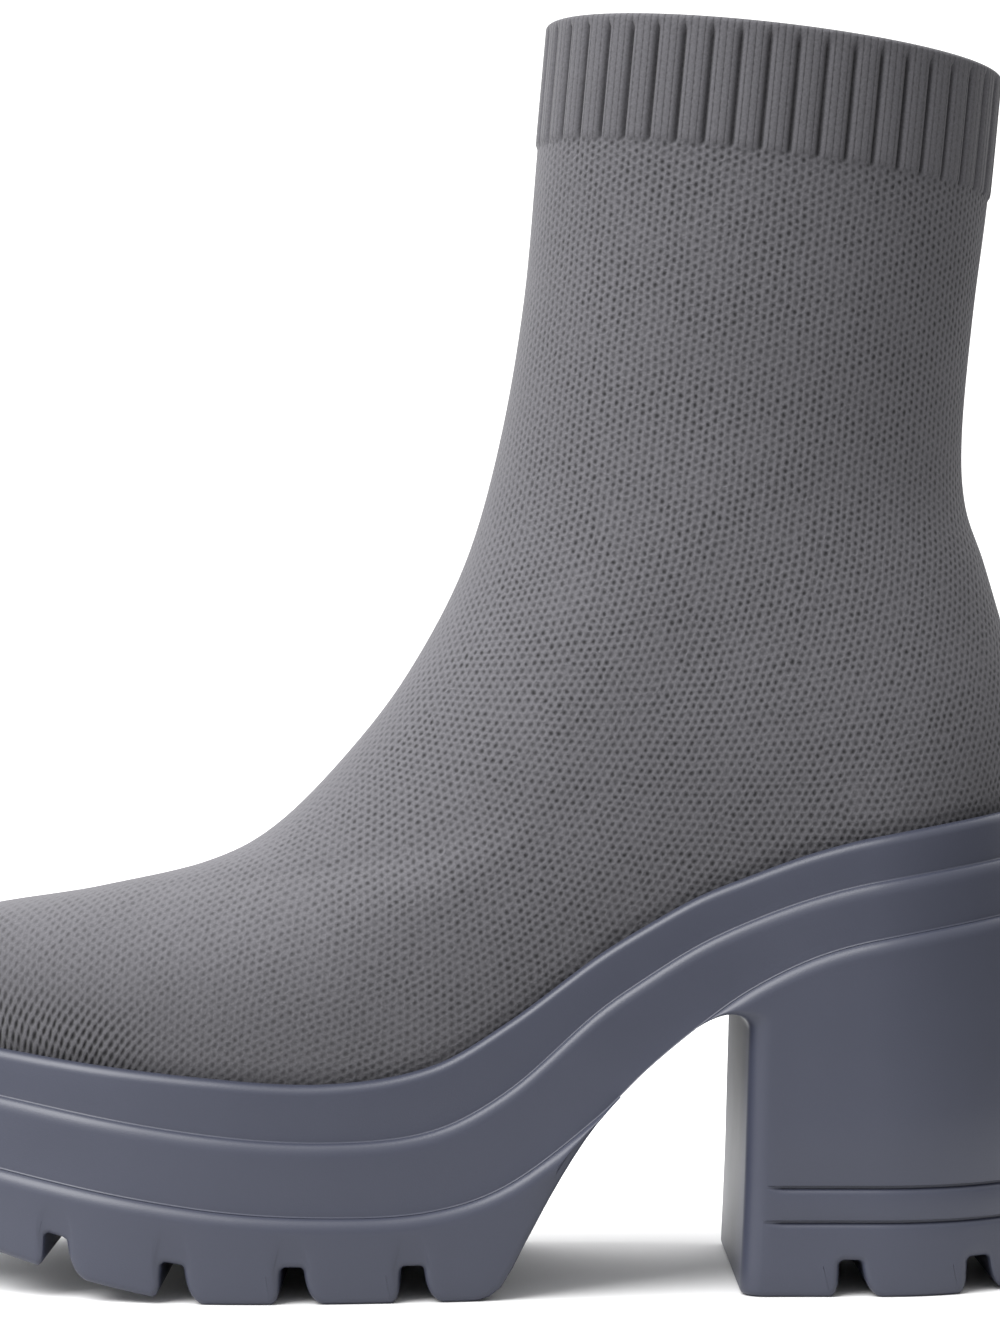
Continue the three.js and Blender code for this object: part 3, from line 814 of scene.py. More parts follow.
@dataclass(frozen=True)
class KnitFinish:
    """The grey mesh knit of the upper, its fanned wales at the toe and the wales on its ribs, with painted
    shade in the cuff's grooves and low on the wall towards the rim.
    """

    yarn: Colour = linear(95, 94, 98)
    light_yarn: Colour = linear(114, 113, 118)
    fibre: float = 0.45
    patch: float = 26.0
    tone: float = 0.35
    fibre_tone: float = 1.5
    patch_tone: float = 0.5
    spacing: float = 1.7
    hole: float = 0.4
    fan_hole: float = 0.46
    ladder: float = 0.35
    wander: tuple[tuple[float, float], ...] = ((0.16, 1.0), (0.55, 0.5))
    hole_shade: float = 0.20
    fan_shade: float = 0.12
    # Painted shade: darker colour in the pressed grooves between the cuff's ribs.
    groove_painted_shade: float = 0.48
    cuff_shade: float = 0.92
    # Painted shade: the knit darkens over the last few millimetres above the sole's lip.
    rim_painted_shade: Range = Range(0.2, 4.5, 0.74)
    # Painted shade: the knit darkens over its lowest 30 mm towards the rim, in place of the shade under a
    # bulge the wall doesn't have.
    low_painted_shade: Range = Range(2.0, 30.0, 0.74)
    clear: Range = Range(2.0, 26.0, 0.30)
    uneven: Range = Range(0.32, 0.62, 0.55)
    uneven_size: float = 0.6
    patchy: Range = Range(0.3, 0.65, 0.78)
    patchy_size: float = 0.09
    faint: Range = Range(-160.0, -70.0, 0.62)
    rib_gap: float = 0.24
    rib_beading: float = 0.6
    groove: Range = Range(0.035, 0.12, 1.0, 0.0)
    hem_rows: Range = Range(13.2, 14.4, 1.0, 0.0)
    hole_depth: float = 0.27
    roughness: float = 0.88
    sheen: float = 0.12
    sheen_roughness: float = 0.45
    specular: float = 0.2

    def make(self, effects: SharedEffects, bend: "WaleBend", wale_per_rib: int) -> bpy.types.Material:
        """Builds the material.

        Args:
            effects: The shared node groups.
            bend: How the wales run round the instep.
            wale_per_rib: How many wales a rib of the cuff has.

        Returns:
            The material.
        """
        maker = MaterialMaker("grey mesh knit")
        nodes = maker.nodes
        grain = effects.grain.place(
            nodes, Vector=maker.place(), Grain_Size=self.fibre, Patch_Size=self.patch
        )
        ridge, rise, fan, cuff = map(nodes.attribute, ("ridge", "rise", "fan", "cuff"))
        knit_map, rib_map = nodes.uv("knit"), nodes.uv("rib")
        wandering = knit_map
        for scale, reach in self.wander:
            drift = nodes.vector("SUBTRACT", nodes.noise(wandering, scale, 2.0, "Color"), (0.5, 0.5, 0.5))
            wandering = nodes.vector("ADD", wandering, nodes.scaled(drift, reach))
        mesh = effects.mesh_knit.place(
            nodes,
            Vector=wandering,
            Spacing=self.spacing,
            Hole=nodes.ramp(fan, 0.0, 1.0, self.hole, self.fan_hole),
            Fan=nodes.ramp(fan, 0.0, 1.0, self.ladder, 1.0),
            Bend_Radius=bend.radius,
            Bend_Length=bend.length,
        )
        ribs = effects.cords.place(nodes, Vector=rib_map, Gap=self.rib_gap, Beading=self.rib_beading)

        uneven = nodes.ramp(nodes.noise(knit_map, self.uneven_size), *self.uneven)
        patchy = nodes.ramp(nodes.noise(knit_map, self.patchy_size, 1.0), *self.patchy)
        faint = nodes.ramp(nodes.split(knit_map)[1], *self.faint)
        strength = nodes.math("MAXIMUM", nodes.ramp(ridge, *self.clear) * uneven * patchy * faint, fan)
        on_body = 1.0 - cuff
        hole = mesh["Hole"] * strength * on_body
        wale = ribs["Gap"] * cuff * uneven * 0.5

        around, up = nodes.split(rib_map)
        phase = nodes.math("FRACT", around / float(wale_per_rib))
        near = nodes.math("MINIMUM", phase, 1.0 - phase)
        groove = nodes.ramp(near, *self.groove) * cuff * nodes.ramp(up, *self.hem_rows)

        shade = 1.0 - hole * (1.0 - nodes.ramp(fan, 0.0, 1.0, self.hole_shade, self.fan_shade))
        for mask, darkest in (
            (wale, self.hole_shade),
            # The cuff's grooves get painted shade.
            (groove * patchy, self.groove_painted_shade),
            (cuff, self.cuff_shade),
        ):
            shade = shade * (1.0 - mask * (1.0 - darkest))
        # Painted shade, darker towards the sole's lip and over the low part of the wall.
        shade = shade * nodes.ramp(rise, *self.rim_painted_shade) * nodes.ramp(rise, *self.low_painted_shade)
        speckle = grain["Tone"] * self.fibre_tone + grain["Patch"] * self.patch_tone
        tone = nodes.math("ADD", speckle, self.tone, clamp=True)
        maker.put("Base Color", nodes.scaled(nodes.blend(tone, self.yarn, self.light_yarn), shade))
        maker.put("Roughness", self.roughness)
        maker.put("Sheen Weight", self.sheen)
        maker.put("Sheen Roughness", self.sheen_roughness)
        maker.put("Specular IOR Level", self.specular)
        loops = mesh["Height"] * strength * on_body * (fan + 1.0)
        maker.bump(loops + grain["Height"] * 0.5 + ribs["Height"] * cuff * 0.8, self.hole_depth, 0.8)
        return maker.material


@dataclass(frozen=True)
class RubberFinish:
    """The satin one-colour rubber of the whole sole."""

    colour: Colour = linear(56, 59, 73)
    worn: Colour = linear(66, 69, 84)
    grain_size: float = 0.35
    patch: float = 38.0
    wear: float = 0.25
    patch_wear: float = 0.7
    grain_wear: float = 0.25
    roughness: float = 0.40
    patch_roughness: float = 0.16
    specular: float = 0.5
    grain: float = 0.035

    def make(self, effects: SharedEffects, name: str) -> bpy.types.Material:
        """Builds the material.

        Args:
            effects: The shared node groups.
            name: The material's name.

        Returns:
            The material.
        """
        maker = MaterialMaker(name)
        nodes = maker.nodes
        grain = effects.grain.place(
            nodes, Vector=maker.place(), Grain_Size=self.grain_size, Patch_Size=self.patch
        )
        speckle = grain["Patch"] * self.patch_wear + grain["Tone"] * self.grain_wear
        wear = nodes.math("ADD", speckle, self.wear, clamp=True)
        maker.put("Base Color", nodes.blend(wear, self.colour, self.worn))
        maker.put("Roughness", grain["Patch"] * self.patch_roughness + self.roughness)
        maker.put("Specular IOR Level", self.specular)
        maker.bump(grain["Height"], self.grain, 0.7)
        return maker.material


@dataclass(frozen=True)
class FootbedFinish:
    """The dark woven cover of the footbed."""

    colour: Colour = linear(92, 92, 97)
    thread: Colour = linear(112, 112, 118)
    spacing: float = 0.8
    roughness: float = 0.9
    depth: float = 0.12

    def make(self, effects: SharedEffects) -> bpy.types.Material:
        """Builds the material.

        Args:
            effects: The shared node groups.

        Returns:
            The material.
        """
        maker = MaterialMaker("footbed cover")
        nodes, where = maker.nodes, maker.place()
        grain = effects.grain.place(nodes, Vector=where, Grain_Size=0.5, Patch_Size=30.0)
        threads = nodes.scaled(where, 1 / (self.spacing * MM))
        weave = effects.cords.place(nodes, Vector=threads, Gap=0.4, Beading=0.5)
        maker.put("Base Color", nodes.blend(weave["Height"], self.colour, self.thread))
        maker.put("Roughness", self.roughness)
        maker.bump(weave["Height"] + grain["Height"], self.depth, 0.6)
        return maker.material


@dataclass(frozen=True)
class WaleBend:
    """The centre, seen from the side, round which the knit's wales bend from foot to shaft."""

    centre_x: float = -66.8
    centre_z: float = 170.6
    radius: float = 118.0
    first: float = math.radians(6)
    last: float = math.radians(70)

    @property
    def length(self) -> float:
        """Way along the bend at its mean radius."""
        return (self.last - self.first) * self.radius

    def map(self, x: np.ndarray, z: np.ndarray) -> tuple[np.ndarray, np.ndarray]:
        """Ways across and along the wales.

        Args:
            x: Places along the shoe.
            z: Heights.

        Returns:
            The distance from the bend's centre line, and the way along the wales, 0 where the
            bend meets the shaft and falling towards the toe.
        """
        east, down = x - self.centre_x, self.centre_z - z
        angle = np.arctan2(down, east)
        across, along = np.hypot(east, down), -(angle - self.first) * self.radius
        for limit, start, past in (
            (self.last, -self.length, angle > self.last),
            (self.first, 0.0, angle < self.first),
        ):
            out = east * math.cos(limit) + down * math.sin(limit)
            way = down * math.cos(limit) - east * math.sin(limit)
            across, along = np.where(past, out, across), np.where(past, start - way, along)
        return across, along


@dataclass
class KnitUpper:
    """The knitted upper: one hollow wall from the sole's cup to the rolled collar."""

    last: Last
    bend: WaleBend
    collar_front: float = 256.0
    collar_back: float = 245.0
    collar_width: float = 75.0
    ankle_width: float = 68.0
    heel_cup: float = 38.0
    toe_bluntness: float = 1.0
    instep_depth: float = 50.0
    cuff_height: float = 25.5
    cuff_step: float = 0.5
    cuff_step_height: float = 1.2
    rib_count: int = 46
    rib_relief: float = 1.15
    rib_groove: float = 0.17
    hem: float = 2.0
    body_rings: int = 104
    cuff_rings: int = 26
    roll_rings: int = 9
    inner_rings: int = 56
    rib_phases: tuple[float, ...] = (0.0, 0.065, 0.13, 0.24, 0.5, 0.76, 0.87, 0.935)
    fan_start: float = -42.0
    fan_softness: float = 8.0
    fan_height: float = 15.0
    fan_turn: float = 0.30
    toe_turn: float = 0.20
    fan_bead: float = 1.5
    fan_run: float = 20.0
    fan_lead: float = 30.0
    fan_foot: float = 4.0
    fan_reach: float = 18.0
    wale_per_rib: int = 4
    row_pitch: float = 1.6
    inner_cuff: float = 0.45

    def __post_init__(self) -> None:
        """Works out the rings' table and the profiles of front and back."""
        self.toe_rim = float(self.last.rim(self.last.x_of(RINGS[0].front)))
        self.heel_rim = float(self.last.rim(self.last.x_of(RINGS[0].back)))
        self.index = np.arange(len(RINGS), dtype=float)
        self.front, self.back = column(RINGS, "front"), column(RINGS, "back")
        self.front_up, self.back_up = column(RINGS, "front_up"), column(RINGS, "back_up")
        self.front_up[CUFF_ROW] = 1 - self.cuff_height / (self.collar_front - self.toe_rim)
        self.back_up[CUFF_ROW] = 1 - self.cuff_height / (self.collar_back - self.heel_rim)
        self.profile = self.ends(np.linspace(0, COLLAR_ROW, COLLAR_ROW * 10 + 1))

    def ends(self, row: np.ndarray) -> dict[str, np.ndarray]:
        """Front and back ends of the ring at a row of the table, whole or in between."""
        return {
            "front_x": self.last.x_of(follow(self.index, self.front, row)),
            "front_z": mix(self.toe_rim, self.collar_front, follow(self.index, self.front_up, row)),
            "back_x": self.last.x_of(follow(self.index, self.back, row)),
            "back_z": mix(self.heel_rim, self.collar_back, follow(self.index, self.back_up, row)),
        }

    def clearance(self, x: np.ndarray, z: np.ndarray) -> np.ndarray:
        """How far a point of the side view lies inside the top and front of the upper.

        Args:
            x: Places along the shoe.
            z: Heights.

        Returns:
            The distances, 0 on the profile.
        """
        front_x, front_z = self.profile["front_x"], self.profile["front_z"]
        top = np.interp(x, front_x, front_z)
        behind = np.maximum(0, x - np.interp(np.minimum(z, self.collar_front), front_z, front_x))
        under = np.maximum(0, top - z)
        length = np.maximum(np.hypot(under, behind), 1e-9)
        return np.where(x > front_x[-1], behind, under * behind / length)

    def face(self, row: np.ndarray, turn: np.ndarray) -> np.ndarray:
        """The outer face, before the cuff, at a row and a turn around it.

        Args:
            row: Rows of the ring table, whole or in between.
            turn: Turns, 0 in front and 0.5 at the back, the outer side first.

        Returns:
            The points.
        """
        last = self.last
        row, turn = np.broadcast_arrays(np.asarray(row, float), np.asarray(turn, float))
        ends = self.ends(row)
        share = (1 - np.cos(2 * np.pi * turn)) / 2
        side = np.where(np.sin(2 * np.pi * turn) > 0, -1.0, 1.0)
        x = mix(ends["front_x"], ends["back_x"], share)
        sag = last.rim(x) - mix(last.rim(ends["front_x"]), last.rim(ends["back_x"]), share)
        settle = 1 - np.clip(row / ANKLE_ROW, 0, 1)
        z = mix(ends["front_z"], ends["back_z"], share) + sag * settle * settle
        chord = ends["back_x"] - ends["front_x"]
        reach = np.minimum(chord / 2, self.instep_depth)
        full = np.maximum(1e-6, np.minimum(self.clearance(x, last.rim(x)), reach))
        ankle = smooth(row / ANKLE_ROW)
        level_front = rounding(share * chord, reach)
        front = mix(rounding(self.clearance(x, z), full), level_front, smooth(row / ANKLE_ROW - 0.3))
        heel_depth = np.minimum(reach, mix(self.heel_cup, reach, row / ANKLE_ROW))
        back = rounding((1 - share) * chord, heel_depth)
        along = np.clip(last.along(x), 0, 1)
        toe = rounding((along - RINGS[0].front) * last.length + self.toe_bluntness, last.toe_round)
        foot = (last.half(side, along) - last.upper_inset) * mix(toe, 1, ankle)
        above = np.clip((row - ANKLE_ROW) / (COLLAR_ROW - ANKLE_ROW), 0, 1)
        shaft = mix(self.ankle_width, self.collar_width, above) / 2
        half = mix(foot, shaft, ankle) * front * back
        free = np.stack([x, last.middle(along) * (1 - ankle) + side * half, z], axis=-1)
        seat = last.inset_point(turn, last.upper_inset)
        seated = np.stack([seat[..., 0], seat[..., 1], last.rim(seat[..., 0]) + z - last.rim(x)], axis=-1)
        return mix(seated, free, smooth(row / SETTLED_ROW)[..., None])

    def point(self, row: np.ndarray, turn: np.ndarray, depth: np.ndarray) -> np.ndarray:
        """A point inside the wall.

        Args:
            row: Rows of the ring table.
            turn: Turns round the ring.
            depth: How far inwards from the outer face.

        Returns:
            The points.
        """
        row, turn, depth = np.broadcast_arrays(np.asarray(row, float), np.asarray(turn, float), depth)
        above, under = np.minimum(row + 0.05, COLLAR_ROW), np.maximum(row - 0.05, 0)
        up = self.face(above, turn) - self.face(under, turn)
        round_way = self.face(row, turn + 0.004) - self.face(row, turn - 0.004)
        inward = np.cross(up, round_way)
        inward /= np.linalg.norm(inward, axis=-1, keepdims=True)
        return self.face(row, turn) + inward * depth[..., None]

    def shares(self) -> np.ndarray:
        """The columns' shares of the way round the cuff, with one more at the end for the maps."""
        ribs = np.arange(self.rib_count)[:, None] + np.array(self.rib_phases)[None]
        return np.append(ribs.ravel() / self.rib_count, 1.0)

    def turns(self) -> np.ndarray:
        """The columns' turns, spaced so that the ribs are equally wide round the cuff.

        Returns:
            The turns, from 0 to 1.
        """
        turn = np.linspace(0, 1, 2001)
        step = np.linalg.norm(np.diff(self.face(CUFF_ROW + 0.5, turn), axis=0), axis=1)
        way = np.concatenate([[0], np.cumsum(step)])
        return np.interp(self.shares() * way[-1], way, turn)

    def stations(self) -> np.ndarray:
        """The rings from the foot of the outer wall over the collar down the inner wall.

        Returns:
            For each ring its row, its depth in the wall and its place: 0 on the body, the height
            up the cuff in millimetres, or -1 inside.
        """
        half_wall, step = self.last.wall / 2, self.cuff_step
        table = [(row, 0.0, 0.0) for row in np.linspace(0, CUFF_ROW - 0.02, self.body_rings)]
        for height in np.linspace(0, 1, self.cuff_rings) * (self.cuff_height - half_wall):
            depth = -step * float(smooth(np.array(height / self.cuff_step_height)))
            table.append((CUFF_ROW + height / self.cuff_height, depth, max(height, 0.01)))
        top_row = CUFF_ROW + (self.cuff_height - half_wall) / self.cuff_height
        for angle in np.linspace(0, math.pi, self.roll_rings + 2)[1:-1]:
            depth = half_wall - step / 2 - (half_wall + step / 2) * math.cos(angle)
            row = top_row + math.sin(angle) * half_wall / self.cuff_height
            table.append((row, depth, self.cuff_height))
        table += [(row, self.last.wall, -1.0) for row in np.linspace(top_row, 0, self.inner_rings)]
        return np.array(table)

    def grid(self) -> tuple[np.ndarray, np.ndarray]:
        """All rings' points, with both feet of the wall in the cup.

        Returns:
            The points by ring and column, and each ring's place.
        """
        rows, depths, places = self.stations().T
        points = self.point(rows[:, None], self.turns()[None, :], depths[:, None])
        feet = points[[0, -1]]
        feet[..., 2] = self.last.cup_floor(feet[..., 0]) + self.last.gap
        return np.concatenate([feet[:1], points, feet[1:]]), np.array([0.0, *places, -1.0])

    def knit_map(self, points: np.ndarray) -> tuple[np.ndarray, np.ndarray]:
        """The knit's map on every ring, and the distance from the front ridge.

        Args:
            points: The points by ring and column.

        Returns:
            The map by ring and column, and the distance from the ridge.
        """
        across, along = self.bend.map(points[..., 0], points[..., 2])
        step = np.diff(points, axis=1)
        true, seen = np.linalg.norm(step, axis=2), np.hypot(step[..., 0], step[..., 2])
        start = np.zeros((len(points), 1))
        spare = np.concatenate([start, np.cumsum(true - seen, axis=1)], axis=1)
        way = np.concatenate([start, np.cumsum(true, axis=1)], axis=1)
        turn = self.turns()
        quarter, half, three = np.searchsorted(turn, (0.25, 0.5, 0.75))
        outer = spare - spare[:, [quarter]]
        inner = spare[:, [three]] - spare
        front_match = outer[:, [0]] / np.minimum(inner[:, [-1]], -1e-6)
        back_match = outer[:, [half]] / np.maximum(inner[:, [half]], 1e-6)
        inner = np.where(turn[None] > 0.75, inner * front_match, inner * back_match)
        extra = np.where(turn[None] <= 0.5, outer, inner)
        ridge = np.where(turn[None] <= 0.5, way, way[:, [-1]] - way)
        fan_across, fan_along = self.fan(points)
        return np.stack([across + extra + fan_across, along + fan_along], axis=-1), ridge

    def fan(self, points: np.ndarray) -> tuple[np.ndarray, np.ndarray]:
        """How the wales turn upright and spread towards the rim beside the toe.

        Args:
            points: The points by ring and column.

        Returns:
            What is added to the map across and along the wales.
        """
        x = points[..., 0]
        low = np.exp(-np.maximum(points[..., 2] - self.last.rim(x), 0) / self.fan_height)
        ahead = self.fan_softness * np.logaddexp(0, (self.fan_start - x) / self.fan_softness)
        turned = (self.toe_turn + self.fan_turn * low) * ahead
        return -turned, -self.fan_bead * low * smooth(ahead / self.fan_run)

    def fan_share(self, points: np.ndarray, rise: np.ndarray) -> np.ndarray:
        """How much the gaps beside the toe are drawn long and dark."""
        ahead = smooth((self.fan_start - points[..., 0]) / self.fan_lead)
        return ahead * (1 - smooth((rise - self.fan_foot) / self.fan_reach))

    def build(self) -> bpy.types.Object:
        """Builds the wall with its maps and values, its ribs still flat.

        Returns:
            The object.
        """
        points, places = self.grid()
        rings, columns = points.shape[0], points.shape[1] - 1
        share = self.shares()
        knit, ridge = self.knit_map(points)
        climb = np.cumsum(np.linalg.norm(np.diff(points, axis=0, prepend=points[:1]), axis=2), axis=0)
        rows = np.where((places < 0)[:, None], climb, np.maximum(places, 0)[:, None]) / self.row_pitch
        wales = np.broadcast_to(share * self.rib_count * self.wale_per_rib, climb.shape)

        ring, col = np.repeat(np.arange(rings), columns), np.tile(np.arange(columns), rings)
        above, after = (ring + 1) % rings, (col + 1) % columns
        corners = ((ring, col), (ring, after), (above, after), (above, col))
        faces = np.stack([r * columns + c for r, c in corners], axis=-1).tolist()
        map_corners = ((ring, col), (ring, col + 1), (above, col + 1), (above, col))
        maps = {
            name: np.stack([source[corner] for corner in map_corners], axis=1)
            for name, source in (("knit", knit), ("rib", np.stack([wales, rows], axis=-1)))
        }
        flat = points[:, :-1]
        rise = flat[..., 2] - self.last.rim(flat[..., 0])
        on_cuff = np.where(places < 0, self.inner_cuff, np.clip(places / 0.8, 0, 1))
        values = {
            "around": np.broadcast_to(share[None, :-1], flat.shape[:2]),
            "height": np.broadcast_to(places[:, None], flat.shape[:2]),
            "cuff": np.broadcast_to(on_cuff[:, None], flat.shape[:2]),
            "ridge": ridge[:, :-1],
            "rise": rise,
            "fan": self.fan_share(flat, rise),
        }
        return MeshMaker.build("upper_knit", flat.reshape(-1, 3), faces, maps, values, crease=75)

    def ribs(self, made: bpy.types.Object, material: bpy.types.Material) -> bpy.types.Object:
        """Presses the grooves between the ribs into the cuff, with Geometry Nodes.

        Args:
            made: The flat wall.
            material: Its finish.

        Returns:
            The ribbed wall as a plain mesh.
        """
        values = {
            "Rib Count": float(self.rib_count),
            "Relief": self.rib_relief,
            "Groove Share": self.rib_groove,
            "Cuff Height": self.cuff_height,
            "Hem Height": self.hem,
            "Material": material,
        }
        tree = bpy.data.node_groups.new("ribbed cuff", "GeometryNodeTree")
        tree.interface.new_socket("Geometry", in_out="INPUT", socket_type="NodeSocketGeometry")
        for label, value in values.items():
            kind = "NodeSocketFloat" if isinstance(value, float) else "NodeSocketMaterial"
            tree.interface.new_socket(label, in_out="INPUT", socket_type=kind)
        tree.interface.new_socket("Geometry", in_out="OUTPUT", socket_type="NodeSocketGeometry")
        nodes = Nodes(tree)
        source, result = nodes.add("NodeGroupInput"), nodes.add("NodeGroupOutput")
        read = {socket.name: Value(nodes, socket) for socket in source.outputs}

        def stored(label: str) -> Value:
            """A point value of the mesh."""
            kind = "GeometryNodeInputNamedAttribute"
            return nodes.made(kind, {"Name": label}, "Attribute", data_type="FLOAT")

        phase = nodes.math("FRACT", stored("around") * read["Rib Count"])
        near = nodes.math("MINIMUM", phase, 1.0 - phase)
        groove = nodes.ramp(near, 0.0, read["Groove Share"], 1.0, 0.0)
        height = stored("height")
        hem_end = read["Cuff Height"] - read["Hem Height"]
        hem = nodes.ramp(height, hem_end - 1.0, hem_end + 0.6, 1.0, 0.0)
        depth = groove * nodes.ramp(height, 0.0, 1.0) * (hem * read["Relief"])
        offset = nodes.scaled(nodes.made("GeometryNodeInputNormal", {}), depth * -MM)
        moved = nodes.made("GeometryNodeSetPosition", {"Geometry": read["Geometry"], "Offset": offset})
        real = nodes.made("GeometryNodeRealizeInstances", {0: moved})
        dressed = nodes.made("GeometryNodeSetMaterial", {"Geometry": real, "Material": read["Material"]})
        nodes.put(result.inputs[0], dressed)
        return bake_nodes(made, tree, values)


def bake_nodes(
    made: bpy.types.Object, tree: bpy.types.NodeTree, values: dict[str, object]
) -> bpy.types.Object:
    """Runs a Geometry Nodes tree on an object and keeps the result as its plain mesh.

    Args:
        made: The object.
        tree: The tree.
        values: The tree's inputs by name.

    Returns:
        The same object with its new mesh and no modifier.
    """
    modifier = made.modifiers.new(tree.name, "NODES")
    modifier.node_group = tree
    for item in tree.interface.items_tree:
        if item.item_type == "SOCKET" and item.in_out == "INPUT" and item.name in values:
            modifier[item.identifier] = values[item.name]
    made.data.update()
    shown = made.evaluated_get(bpy.context.evaluated_depsgraph_get())
    mesh = bpy.data.meshes.new_from_object(shown)
    mesh.name = made.name
    made.modifiers.clear()
    old, made.data = made.data, mesh
    bpy.data.meshes.remove(old)
    return made


@dataclass
class SoleSection:
    """Rounded sections of the sole's side, as pairs of inset and drop."""

    last: Last
    corner: float = 0.4
    shoulder_drop: float = 2.9
    lip_round: float = 2.1
    inner_lip_round: float = 0.6

    def shoulder(self, inset: float, outer: float, drop: float) -> Pairs:
        """A round shoulder from a flat start to the upright wall below it.

        Args:
            inset: Inset at which the shoulder starts.
            outer: Inset of the wall below.
            drop: Drop at which it starts.

        Returns:
            Pairs of inset and drop below the ledge's line.
        """
        fall, out = self.shoulder_drop, inset - outer
        angles = np.radians(np.linspace(0, 90, 9))
        return [(inset - out * math.sin(a), drop + fall * (1 - math.cos(a))) for a in angles]

    def step(self, inset: float) -> Pairs:
        """A hollow corner and the round shoulder of a ledge below a wall."""
        hollow = arc((inset - self.corner, -self.corner), self.corner, 180, 260, 4)
        return hollow + self.shoulder(inset - self.corner, inset - self.last.ledge, 0.0)

    def lip(self) -> Pairs:
        """The cup's wall and the rounded lip, inside and out.

        Returns:
            Pairs of inset and drop below the rim.
        """
        last, small = self.last, self.inner_lip_round
        inner = arc((last.cup_inset - small, small), small, 180, 90, 4)
        outer = arc((last.band_inset + self.lip_round, self.lip_round), self.lip_round, 90, 0, 8)
        return [(last.cup_inset, last.cup_depth), *inner, *outer]


@dataclass
class Midsole:
    """The moulded platform: cup, lip, upper band, ledge and lower band."""

    last: Last
    stations: int = 170
    even: float = 0.35

    def ring(self, inset: float, height: Height) -> np.ndarray:
        """One closed ring.

        Args:
            inset: How far inside the outline.
            height: Its height along the shoe.

        Returns:
            The ring, outer side first; the toe's and the back's points are shared.
        """
        share = np.linspace(0, 1, self.stations + 1)
        turn = mix(share / 2, np.arccos(1 - 2 * share) / (2 * np.pi), self.even)
        plan = self.last.inset_point(np.concatenate([turn, 1 - turn[-2:0:-1]]), inset)
        return np.column_stack([plan, height(plan[:, 0])])

    def build(self) -> bpy.types.Object:
        """Builds the platform's skin.

        Returns:
            The object.
        """
        last, section = self.last, SoleSection(self.last)
        corner = section.corner
        lip_foot, ledge_top = below(last.rim, section.lip_round), below(last.ledge_line, -corner)
        shoulder_foot, seat_top = below(last.ledge_line, section.shoulder_drop), below(last.seat, -corner)
        under = arc((last.ledge - corner, -corner), corner, 180, 250, 4)
        rings = [self.ring(inset, below(last.rim, drop)) for inset, drop in section.lip()]
        rings += [self.ring(last.band_inset, between(lip_foot, ledge_top, s)) for s in (0.35, 0.7)]
        step = section.step(last.band_inset)
        rings += [self.ring(inset, below(last.ledge_line, drop)) for inset, drop in step]
        rings += [self.ring(last.ledge, between(shoulder_foot, seat_top, s)) for s in (0.3, 0.65)]
        rings += [self.ring(inset, below(last.seat, drop)) for inset, drop in under]
        rings.append(self.ring(last.ledge + 0.6, below(last.seat, SEAM)))
        return MeshMaker.closed("midsole_platform", rings, Twin.SHARED)


@dataclass(frozen=True)
class Channel:
    """The section of a tread channel: upright in front, flared behind, with a flat top."""

    depth: float = 7.2
    top: float = 4.6
    top_round: float = 1.0
    front_mouth: float = 4.1
    back_mouth: float = 6.1
    front_sweep: float = 0.42
    back_sweep: float = 0.72
    draft: float = 0.15
    lip: float = 0.8
    steps: int = 7

    def wall(self, mouth: float, sweep: float) -> Pairs:
        """One wall from the mouth's lip to the flat top, as distances from the middle.

        Args:
            mouth: Half width of the mouth on this side.
            sweep: Share of the depth over which the wall curves out to the mouth.

        Returns:
            Pairs of distance and height.
        """
        half = self.top / 2 + self.draft
        bend = half + (mouth - half) * 0.2
        points = [(mouth + self.lip, 0.0)]
        for share in np.linspace(0, 1, self.steps):
            keep = 1 - share
            across = keep**2 * mouth + 2 * keep * share * bend + share**2 * half
            points.append((across, (2 * keep * share * 0.12 + share**2) * sweep * self.depth))
        inner, small = self.top / 2 - self.top_round, self.top_round
        for a in np.radians(np.linspace(0, 90, 5)):
            points.append((inner + small * math.cos(a), self.depth - small * (1 - math.sin(a))))
        return points

    def section(self) -> np.ndarray:
        """The whole section from front to back.

        Returns:
            Pairs of distance from the middle and height.
        """
        front = np.array(self.wall(self.front_mouth, self.front_sweep)) * (-1, 1)
        back = np.array(self.wall(self.back_mouth, self.back_sweep))
        return np.concatenate([front, [(0.0, self.depth)], back[::-1]])


